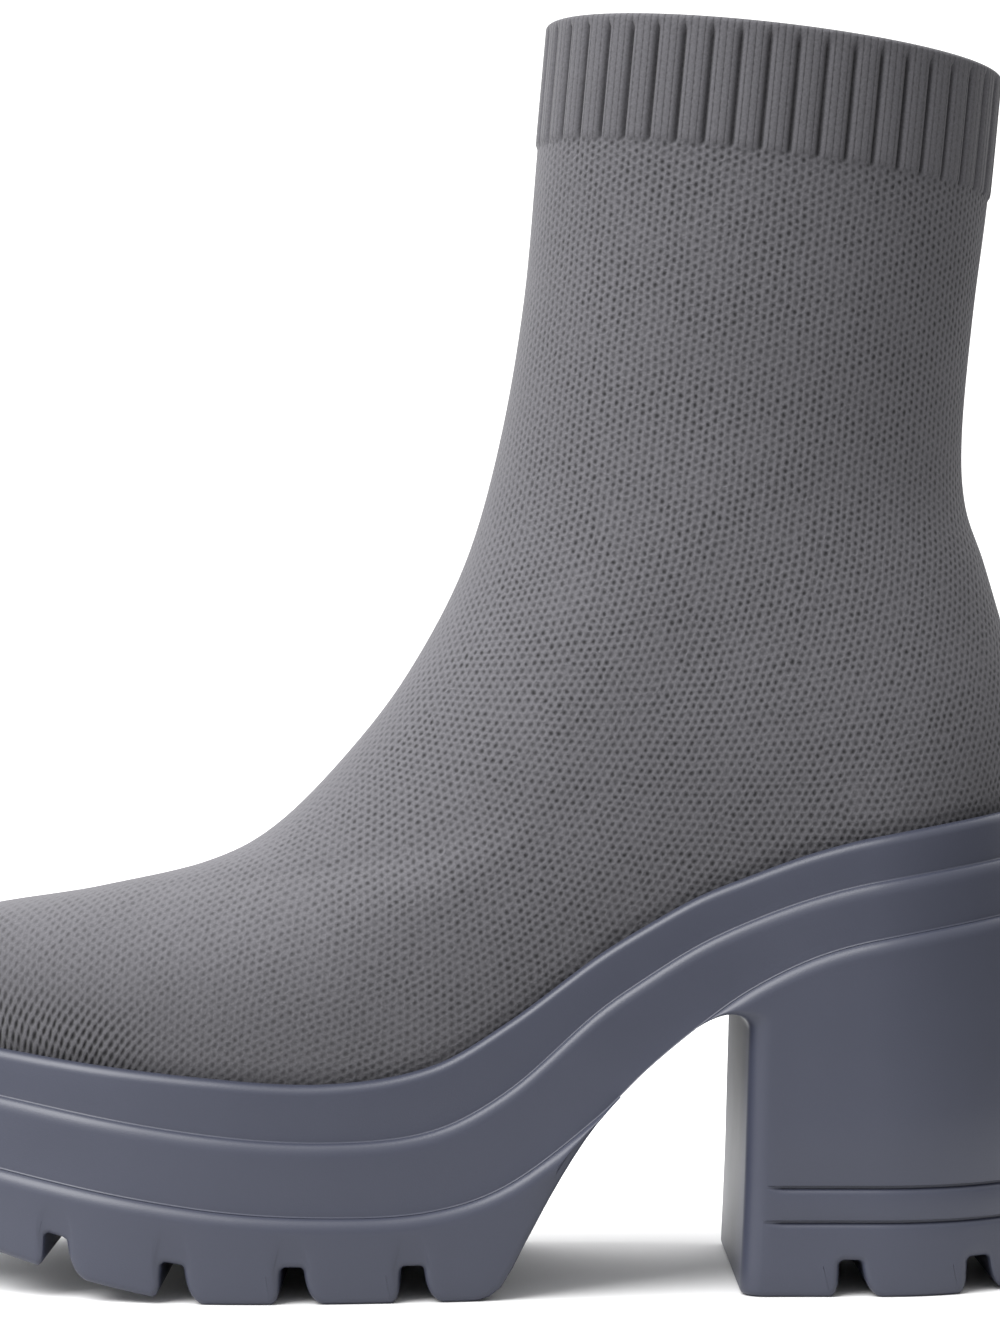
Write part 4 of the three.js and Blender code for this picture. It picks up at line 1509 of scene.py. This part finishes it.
@dataclass
class TreadBlock:
    """A block of the sole whose bottom line runs in and out of channels."""

    last: Last
    edge: float = 1.3
    edge_steps: int = 4
    channel: Channel = Channel()

    def bottom(
        self, start: float, end: float, centres: list[float], line: Height, spacing: float
    ) -> tuple[np.ndarray, np.ndarray]:
        """The bottom line with its channels, from front to back.

        Args:
            start: Where the line starts.
            end: Where it ends.
            centres: The channels' places.
            line: Height of the plain bottom line.
            spacing: Steps on the plain stretches.

        Returns:
            Pairs of x and z, and places of the stations further up, spread evenly between the
            channels' middles.
        """
        pieces: list[np.ndarray] = []
        anchors = [0]
        section = self.channel.section()
        place = start
        for centre in [*sorted(centres), None]:
            reach = end if centre is None else centre + section[0, 0]
            count = max(2, round((reach - place) / spacing))
            plain = np.linspace(place, reach, count, endpoint=centre is None)
            pieces.append(np.column_stack([plain, line(plain)]))
            if centre is not None:
                anchors.append(sum(map(len, pieces)) + len(section) // 2)
                x, z = (section + (centre, 0.0)).T
                pieces.append(np.column_stack([x, z + self.last.ground(x)]))
                place = pieces[-1][-1, 0] + spacing * 0.5
        whole = np.concatenate(pieces)
        anchors.append(len(whole) - 1)
        way = np.concatenate([[0], np.cumsum(np.linalg.norm(np.diff(whole, axis=0), axis=1))])
        return whole, np.interp(way, way[anchors], whole[anchors, 0])

    def edge_rounds(self) -> Pairs:
        """Inset and lift of the bottom's rounded edge, from below to the side."""
        angles = np.radians(np.linspace(90, 0, self.edge_steps + 1))
        return [(self.edge * (1 - math.cos(a)), self.edge * (1 - math.sin(a))) for a in angles]

    @staticmethod
    def inward(line: np.ndarray) -> np.ndarray:
        """Directions from the bottom line into the rubber.

        Args:
            line: Pairs of x and z.

        Returns:
            A direction for each pair.
        """
        tangent = np.gradient(line, axis=0)
        tangent /= np.maximum(np.linalg.norm(tangent, axis=1, keepdims=True), 1e-9)
        return np.column_stack([-tangent[:, 1], tangent[:, 0]])


@dataclass
class Outsole(TreadBlock):
    """The forefoot's lug block, with a tail that runs out under the arch."""

    pitch: float = 23.3
    last_channel: float = 118.1
    count: int = 5
    toe_stations: int = 16
    toe_end: float = -110.5
    spacing: float = 2.2
    draft: float = 0.6
    least_room: float = 0.05

    def build(self) -> bpy.types.Object:
        """Builds the block's skin.

        Returns:
            The object.
        """
        last, section = self.last, SoleSection(self.last)
        tail = float(last.x_of(ARCH[-1].along))
        centres = [self.last_channel - index * self.pitch - last.length / 2 for index in range(self.count)]
        line, spread = self.bottom(self.toe_end, tail, centres, last.tread_line, self.spacing)
        into = self.inward(line)
        room = np.clip((last.seat(line[:, 0]) - line[:, 1]) / (2.4 * self.edge), self.least_room, 1)
        foot = line + into * (self.edge * room)[:, None]

        def shoulder(x: np.ndarray, drop: float) -> np.ndarray:
            """Height a little under the seat, never below the bottom edge."""
            free = np.maximum(last.seat(x) - last.tread_line(x), SEAM)
            return last.seat(x) - np.minimum(drop, free * 0.45 * drop / section.shoulder_drop)

        def shoulder_line(drop: float) -> Height:
            """The shoulder's height as a line along the shoe."""
            return lambda x: shoulder(x, drop)

        rings = []
        for turned_in, lift in self.edge_rounds():
            moved = line + into * (lift * room)[:, None]
            rings.append(self.ring(self.draft + turned_in, *moved.T, below(last.ground, -lift)))
        wall_foot, wall_top = below(last.ground, -self.edge), shoulder_line(section.shoulder_drop)
        for share in (0.34, 0.67):
            x, z = mix(foot[:, 0], spread, share), mix(foot[:, 1], wall_top(spread), share)
            rings.append(self.ring(self.draft * (1 - share), x, z, between(wall_foot, wall_top, share)))
        for inset, drop in reversed(section.shoulder(last.ledge, 0.0, SEAM)):
            rings.append(self.ring(inset, spread, shoulder(spread, drop), shoulder_line(drop)))
        return MeshMaker.closed("outsole_lugs", rings, Twin.LAST, crease=32, turned=1)

    def ring(self, inset: float, x: np.ndarray, z: np.ndarray, toe_height: Height) -> np.ndarray:
        """One ring: round the toe by turns, then along both sides at the given places.

        Args:
            inset: How far inside the outline.
            x: Places along the sides.
            z: Heights there.
            toe_height: Height round the toe.

        Returns:
            The ring, outer side first and the inner side back again.
        """
        sides = []
        for side in Side:
            end = float(self.last.turn_at(side, x[:1], inset)[0])
            start = 0.0 if side is Side.OUTER else 1.0
            share = np.linspace(0, 1, self.toe_stations + 1)[:-1]
            toe = self.last.inset_point(start + (end - start) * share, inset)
            toe_z = toe_height(toe[:, 0]) + (z[0] - toe_height(x[:1])[0]) * share**2
            y = self.last.inset_point(self.last.turn_at(side, x, inset), inset)[:, 1]
            sides.append(np.concatenate([np.column_stack([toe, toe_z]), np.column_stack([x, y, z])]))
        return np.concatenate([sides[0], sides[1][::-1]])


@dataclass
class HeelBlock(TreadBlock):
    """The block heel and its lugged top piece, both on the same flat-fronted outline."""

    breast: float = 184.3
    lean: float = 1.8
    fillet: float = 12.0
    sweep: float = 8.2
    sweep_shares: tuple[float, ...] = (0.38, 0.5, 0.62, 0.74, 0.87, 1.0)
    corner: float = 4.4
    fillet_corner: float = 1.6
    top_piece: float = 13.6
    groove: float = 1.5
    groove_depth: float = 1.1
    groove_spacing: float = 6.8
    groove_fade: float = 3.0
    groove_edge: tuple[tuple[float, float], ...] = ((0.0, 0.25), (0.08, 0.06), (0.3, 0.0))
    taper: float = 0.6
    spacing: float = 2.4
    corner_steps: int = 9
    side_stations: int = 34
    back_stations: int = 26
    back_start: float = 116.0
    first_channel: float = 204.2
    channels: int = 2
    pitch: float = 25.7

    @property
    def joint(self) -> float:
        """Height at which the heel meets its top piece."""
        return self.top_piece + self.groove

    def breast_at(self, height: float) -> float:
        """x of the breast at a height."""
        share = 1 - min(max(height / self.last.forefoot_rim, 0.0), 1.0)
        return self.breast - self.last.length / 2 - self.lean * share

    def ring(
        self,
        breast: float,
        inset: float,
        x: np.ndarray,
        z: np.ndarray,
        height: Height,
        corner_inset: float | None = None,
        corner: float | None = None,
    ) -> np.ndarray:
        """One ring: the breast's corner, the side at the given places, then the back by turns.

        Args:
            breast: x of the flat breast.
            inset: How far inside the outline the side and back stand.
            x: Places along the side.
            z: Heights there.
            height: Height elsewhere.
            corner_inset: Inset of the breast's corner, where it isn't that of the side.
            corner: Radius of the breast's corner, where it isn't the usual one.

        Returns:
            The ring, outer side first and the inner side back again.
        """
        corner = self.corner if corner is None else corner
        corner_inset = inset if corner_inset is None else corner_inset
        start = breast + corner
        places = np.array([start, *x])
        fade = smooth((places - start) / self.groove_fade)
        angles = np.linspace(0, np.pi / 2, self.corner_steps + 1)[:-1]
        sides = []
        for side in Side:
            turns = self.last.turn_at(side, places, inset)
            plain = self.last.inset_point(self.last.turn_at(side, places, corner_inset), corner_inset)
            y = mix(plain[:, 1], self.last.inset_point(turns, inset)[:, 1], fade)
            corner_x = start - corner * np.cos(angles)
            corner_y = y[0] - side.value * corner * (1 - np.sin(angles))
            share = np.linspace(0, 1, self.back_stations + 1)[1:]
            back = self.last.inset_point(turns[-1] + (0.5 - turns[-1]) * share, inset)
            stretches = (
                np.column_stack([corner_x, corner_y, height(corner_x)]),
                np.column_stack([x, y[1:], z]),
                np.column_stack([back, height(back[:, 0])]),
            )
            sides.append(np.concatenate(stretches))
        return np.concatenate([sides[0], sides[1][-2::-1]])

    def plain_ring(
        self,
        breast: float,
        inset: float,
        height: Height,
        corner_inset: float | None = None,
        corner: float | None = None,
    ) -> np.ndarray:
        """A ring whose side stations are evenly spaced.

        Args:
            breast: x of the flat breast.
            inset: How far inside the outline the side and back stand.
            height: Height along the shoe.
            corner_inset: Inset of the breast's corner, where it isn't that of the side.
            corner: Radius of the breast's corner, where it isn't the usual one.

        Returns:
            The ring, outer side first and the inner side back again.
        """
        start = breast + (self.corner if corner is None else corner)
        x = np.linspace(start, self.back_start, self.side_stations)
        return self.ring(breast, inset, x, height(x), height, corner_inset, corner)

    def groove_upper(self, top: float) -> Pairs:
        """Inset and height of a groove's sharp upper edge, downwards.

        Args:
            top: Height of the groove's upper edge.

        Returns:
            Pairs of inset and height.
        """
        deep = self.taper + self.groove_depth
        edge = [(self.taper + inset, top + up) for inset, up in self.groove_edge]
        return [*edge, (deep, top - 0.1)]

    def groove_shoulder(self, top: float) -> Pairs:
        """Inset and height of the round shoulder under a groove, downwards.

        Args:
            top: Height of the groove's upper edge.

        Returns:
            Pairs of inset and height.
        """
        deep, fall = self.taper + self.groove_depth, self.groove - 0.3
        angles = np.radians(np.linspace(0, 90, 6))
        return [
            (deep - self.groove_depth * math.sin(a), top - 0.6 - fall * (1 - math.cos(a))) for a in angles
        ]

    def swept(self, drop: float) -> float:
        """x of the breast in the fillet under the arch."""
        left = 1 - min(drop / self.sweep, 1.0)
        return self.breast - self.last.length / 2 - self.fillet * (1 - math.sqrt(1 - left * left))

    def build_heel(self) -> bpy.types.Object:
        """Builds the block heel.

        Returns:
            The object.
        """
        last, tight = self.last, self.fillet_corner
        rings = []
        for inset, drop in SoleSection(last).shoulder(last.ledge, 0.0, SEAM):
            rings.append(self.plain_ring(self.swept(drop), inset, below(last.seat, drop), corner=tight))
        first = self.sweep_shares[0]
        for share in self.sweep_shares:
            drop = self.sweep * share
            corner = float(mix(tight, self.corner, smooth(np.array((share - first) / (1 - first)))))
            rings.append(self.plain_ring(self.swept(drop), 0.0, below(last.seat, drop), corner=corner))
        groove_top = self.joint + self.groove_spacing
        front, foot_front = self.swept(self.sweep), self.breast_at(groove_top)
        wall_top, wall_foot = below(last.seat, self.sweep), level(groove_top + 0.3)
        for share in (0.3, 0.65):
            line = between(wall_top, wall_foot, share)
            rings.append(self.plain_ring(mix(front, foot_front, share), self.taper * share, line))
        edges = self.groove_upper(groove_top) + self.groove_shoulder(groove_top)
        for inset, height in edges + self.groove_upper(self.joint):
            rings.append(self.plain_ring(self.breast_at(height), inset, level(height), self.taper))
        return MeshMaker.closed("heel_block", rings, Twin.LAST)

    def build_top_piece(self) -> bpy.types.Object:
        """Builds the lugged top piece.

        Returns:
            The object.
        """
        first = self.first_channel - self.last.length / 2
        centres = [first + index * self.pitch for index in range(self.channels)]
        start = self.breast_at(0) + self.corner
        line, spread = self.bottom(start, self.back_start, centres, np.zeros_like, self.spacing)
        into = self.inward(line)
        foot = line + into * self.edge
        rings = []
        for turned_in, lift in self.edge_rounds():
            moved = line + into * lift
            breast = self.breast_at(lift) + turned_in
            rings.append(self.ring(breast, self.taper + turned_in, *moved.T, level(lift)))
        shoulder = self.groove_shoulder(self.joint)
        for share in (0.4, 0.8):
            height = mix(self.edge, shoulder[-1][1], share)
            x, z = mix(foot[:, 0], spread, share), mix(foot[:, 1], shoulder[-1][1], share)
            rings.append(self.ring(self.breast_at(height), self.taper, x, z, level(height)))
        for inset, height in [*reversed(shoulder), self.groove_upper(self.joint)[-1]]:
            z = np.full_like(spread, height)
            rings.append(self.ring(self.breast_at(height), inset, spread, z, level(height), self.taper))
        return MeshMaker.closed("heel_top_piece_lugs", rings, Twin.LAST, crease=32)


@dataclass
class Footbed:
    """The footbed that lies in the cup, inside the upper."""

    last: Last
    thickness: float = 4.0
    edge: float = 1.4
    crown: tuple[tuple[float, float], ...] = ((9.0, 0.25), (16.0, 0.5))

    def build(self) -> bpy.types.Object:
        """Builds the footbed's skin.

        Returns:
            The object.
        """
        last = self.last
        inset = last.upper_inset + last.wall + last.gap
        platform = Midsole(last, stations=110)
        edge = arc((inset + self.edge, self.edge), self.edge, 0, 90, 5)
        crown = [(inset + further, drop) for further, drop in self.crown]
        section = [(inset, 0.0), *((at, self.thickness - drop) for at, drop in edge + crown)]
        rings = [platform.ring(at, below(last.cup_floor, -last.gap - up)) for at, up in section]
        return MeshMaker.closed("footbed", rings, Twin.SHARED)


@dataclass(frozen=True)
class Studio:
    """The camera at the photograph's view, a pale floor and soft light."""

    camera_x: float = 10.7
    camera_y: float = -800.0
    camera_z: float = 124.0
    focal_pixels: float = 3880.0
    picture_height: float = 1333.0
    sensor: float = 36.0
    floor_half: float = 30.0
    floor_tone: float = 0.95
    floor_reach: Range = Range(0.15, 0.45, 0.75, 0.15)
    horizon: float = 0.1
    above: float = 0.6
    left: float = 0.9
    front: float = 0.3
    behind: float = 1.3
    gloss: float = 0.5
    key: float = 3.85
    key_towards: tuple[float, float, float] = (-0.49, -0.33, 0.81)
    key_spread: float = 50.0

    def camera(self) -> None:
        """Creates the camera."""
        data = bpy.data.cameras.new("camera")
        data.sensor_width = self.sensor
        data.lens = self.focal_pixels / self.picture_height * self.sensor
        data.clip_start = 0.01
        made = bpy.data.objects.new("camera", data)
        made.location = (self.camera_x * MM, self.camera_y * MM, self.camera_z * MM)
        made.rotation_euler = (math.radians(90), 0, 0)
        bpy.context.scene.collection.objects.link(made)
        bpy.context.scene.camera = made

    def floor(self) -> None:
        """Creates the floor, which throws less light back on the shoe than it shows."""
        half = self.floor_half
        corners = [(-half, -half, 0), (half, -half, 0), (half, half, 0), (-half, half, 0)]
        mesh = bpy.data.meshes.new("floor")
        mesh.from_pydata(corners, [], [(0, 1, 2, 3)])
        made = bpy.data.objects.new("floor", mesh)
        maker = MaterialMaker("pale floor")
        nodes = maker.nodes
        bounce = nodes.ramp(nodes.vector("LENGTH", maker.place()), *self.floor_reach)
        shown = nodes.made("ShaderNodeLightPath", {}, "Is Camera Ray") * self.floor_tone
        shade = nodes.math("MAXIMUM", shown, bounce)
        maker.put("Base Color", nodes.blend(shade, (0.0, 0.0, 0.0), (1.0, 1.0, 1.0)))
        maker.put("Roughness", 0.8)
        maker.put("Specular IOR Level", 0.1)
        made.data.materials.append(maker.material)
        bpy.context.scene.collection.objects.link(made)

    def key_light(self) -> None:
        """Adds the soft key light, a far one that shines from a direction."""
        data = bpy.data.lights.new("key", "SUN")
        data.energy = self.key
        data.angle = math.radians(self.key_spread)
        made = bpy.data.objects.new("key", data)
        made.rotation_euler = Vector(self.key_towards).to_track_quat("Z", "Y").to_euler()
        bpy.context.scene.collection.objects.link(made)

    def surround(self) -> None:
        """Sets a white surround that shines in soft lobes, most of all from above and the left."""
        world = bpy.data.worlds.new("studio")
        world.use_nodes = True
        nodes = Nodes(world.node_tree)
        background = next(n for n in world.node_tree.nodes if n.type == "BACKGROUND")
        towards = nodes.made("ShaderNodeTexCoord", {}, "Generated")
        axes = nodes.made("ShaderNodeSeparateXYZ", {0: towards}).socket.node.outputs
        glow: object = self.horizon
        for axis, weight in ((2, self.above), (0, -self.left), (1, -self.front), (1, self.behind)):
            glow = glow + nodes.math("MAXIMUM", Value(nodes, axes[axis]) * weight, 0.0)
        rays = nodes.made("ShaderNodeLightPath", {}).socket.node.outputs
        gloss = Value(nodes, rays["Is Glossy Ray"]) * self.gloss + 1.0
        strength = nodes.math("MAXIMUM", Value(nodes, rays["Is Camera Ray"]), glow * gloss)
        nodes.put(background.inputs["Strength"], strength)
        background.inputs["Color"].default_value = (1.0, 1.0, 1.0, 1)
        bpy.context.scene.world = world

    def build(self) -> None:
        """Sets up the studio."""
        self.camera()
        self.floor()
        self.surround()
        self.key_light()
        bpy.context.scene.view_settings.view_transform = "Standard"
        bpy.context.scene.view_settings.look = "None"


def mount(made: bpy.types.Object, material: bpy.types.Material, finish: Finish, *nodes: str) -> None:
    """Dresses a finished piece and puts it on the body in the place of its solids.

    Args:
        made: The piece.
        material: Its finish.
        finish: Not used.
        nodes: The solids that it replaces.
    """
    made.data.materials.clear()
    made.data.materials.append(material)
    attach(made, BODY)
    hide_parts(*nodes)
    made.data.calc_loop_triangles()
    log.info("%s: %d triangles", made.name, len(made.data.loop_triangles))


def main() -> None:
    """Builds the boot's pieces in order."""
    logging.basicConfig(level=logging.INFO, format="%(message)s")
    last, bend = Last(), WaleBend()
    effects = SharedEffects()
    Studio().build()

    rubber = RubberFinish()
    upper = KnitUpper(last, bend)
    knit = KnitFinish().make(effects, bend, upper.wale_per_rib)
    heel = HeelBlock(last)
    mount(upper.ribs(upper.build(), knit), knit, Finish.KNIT, "upper")
    mount(Footbed(last).build(), FootbedFinish().make(effects), Finish.FOOTBED, "insole")
    for made, name, solid in (
        (Midsole(last).build(), "platform rubber", "midsole"),
        (Outsole(last).build(), "outsole rubber", "outsole"),
        (heel.build_heel(), "heel rubber", "heel"),
        (heel.build_top_piece(), "top piece rubber", "heel_top_piece"),
    ):
        mount(made, rubber.make(effects, name), Finish.SOLE, solid)


if __name__ == "__main__":
    main()
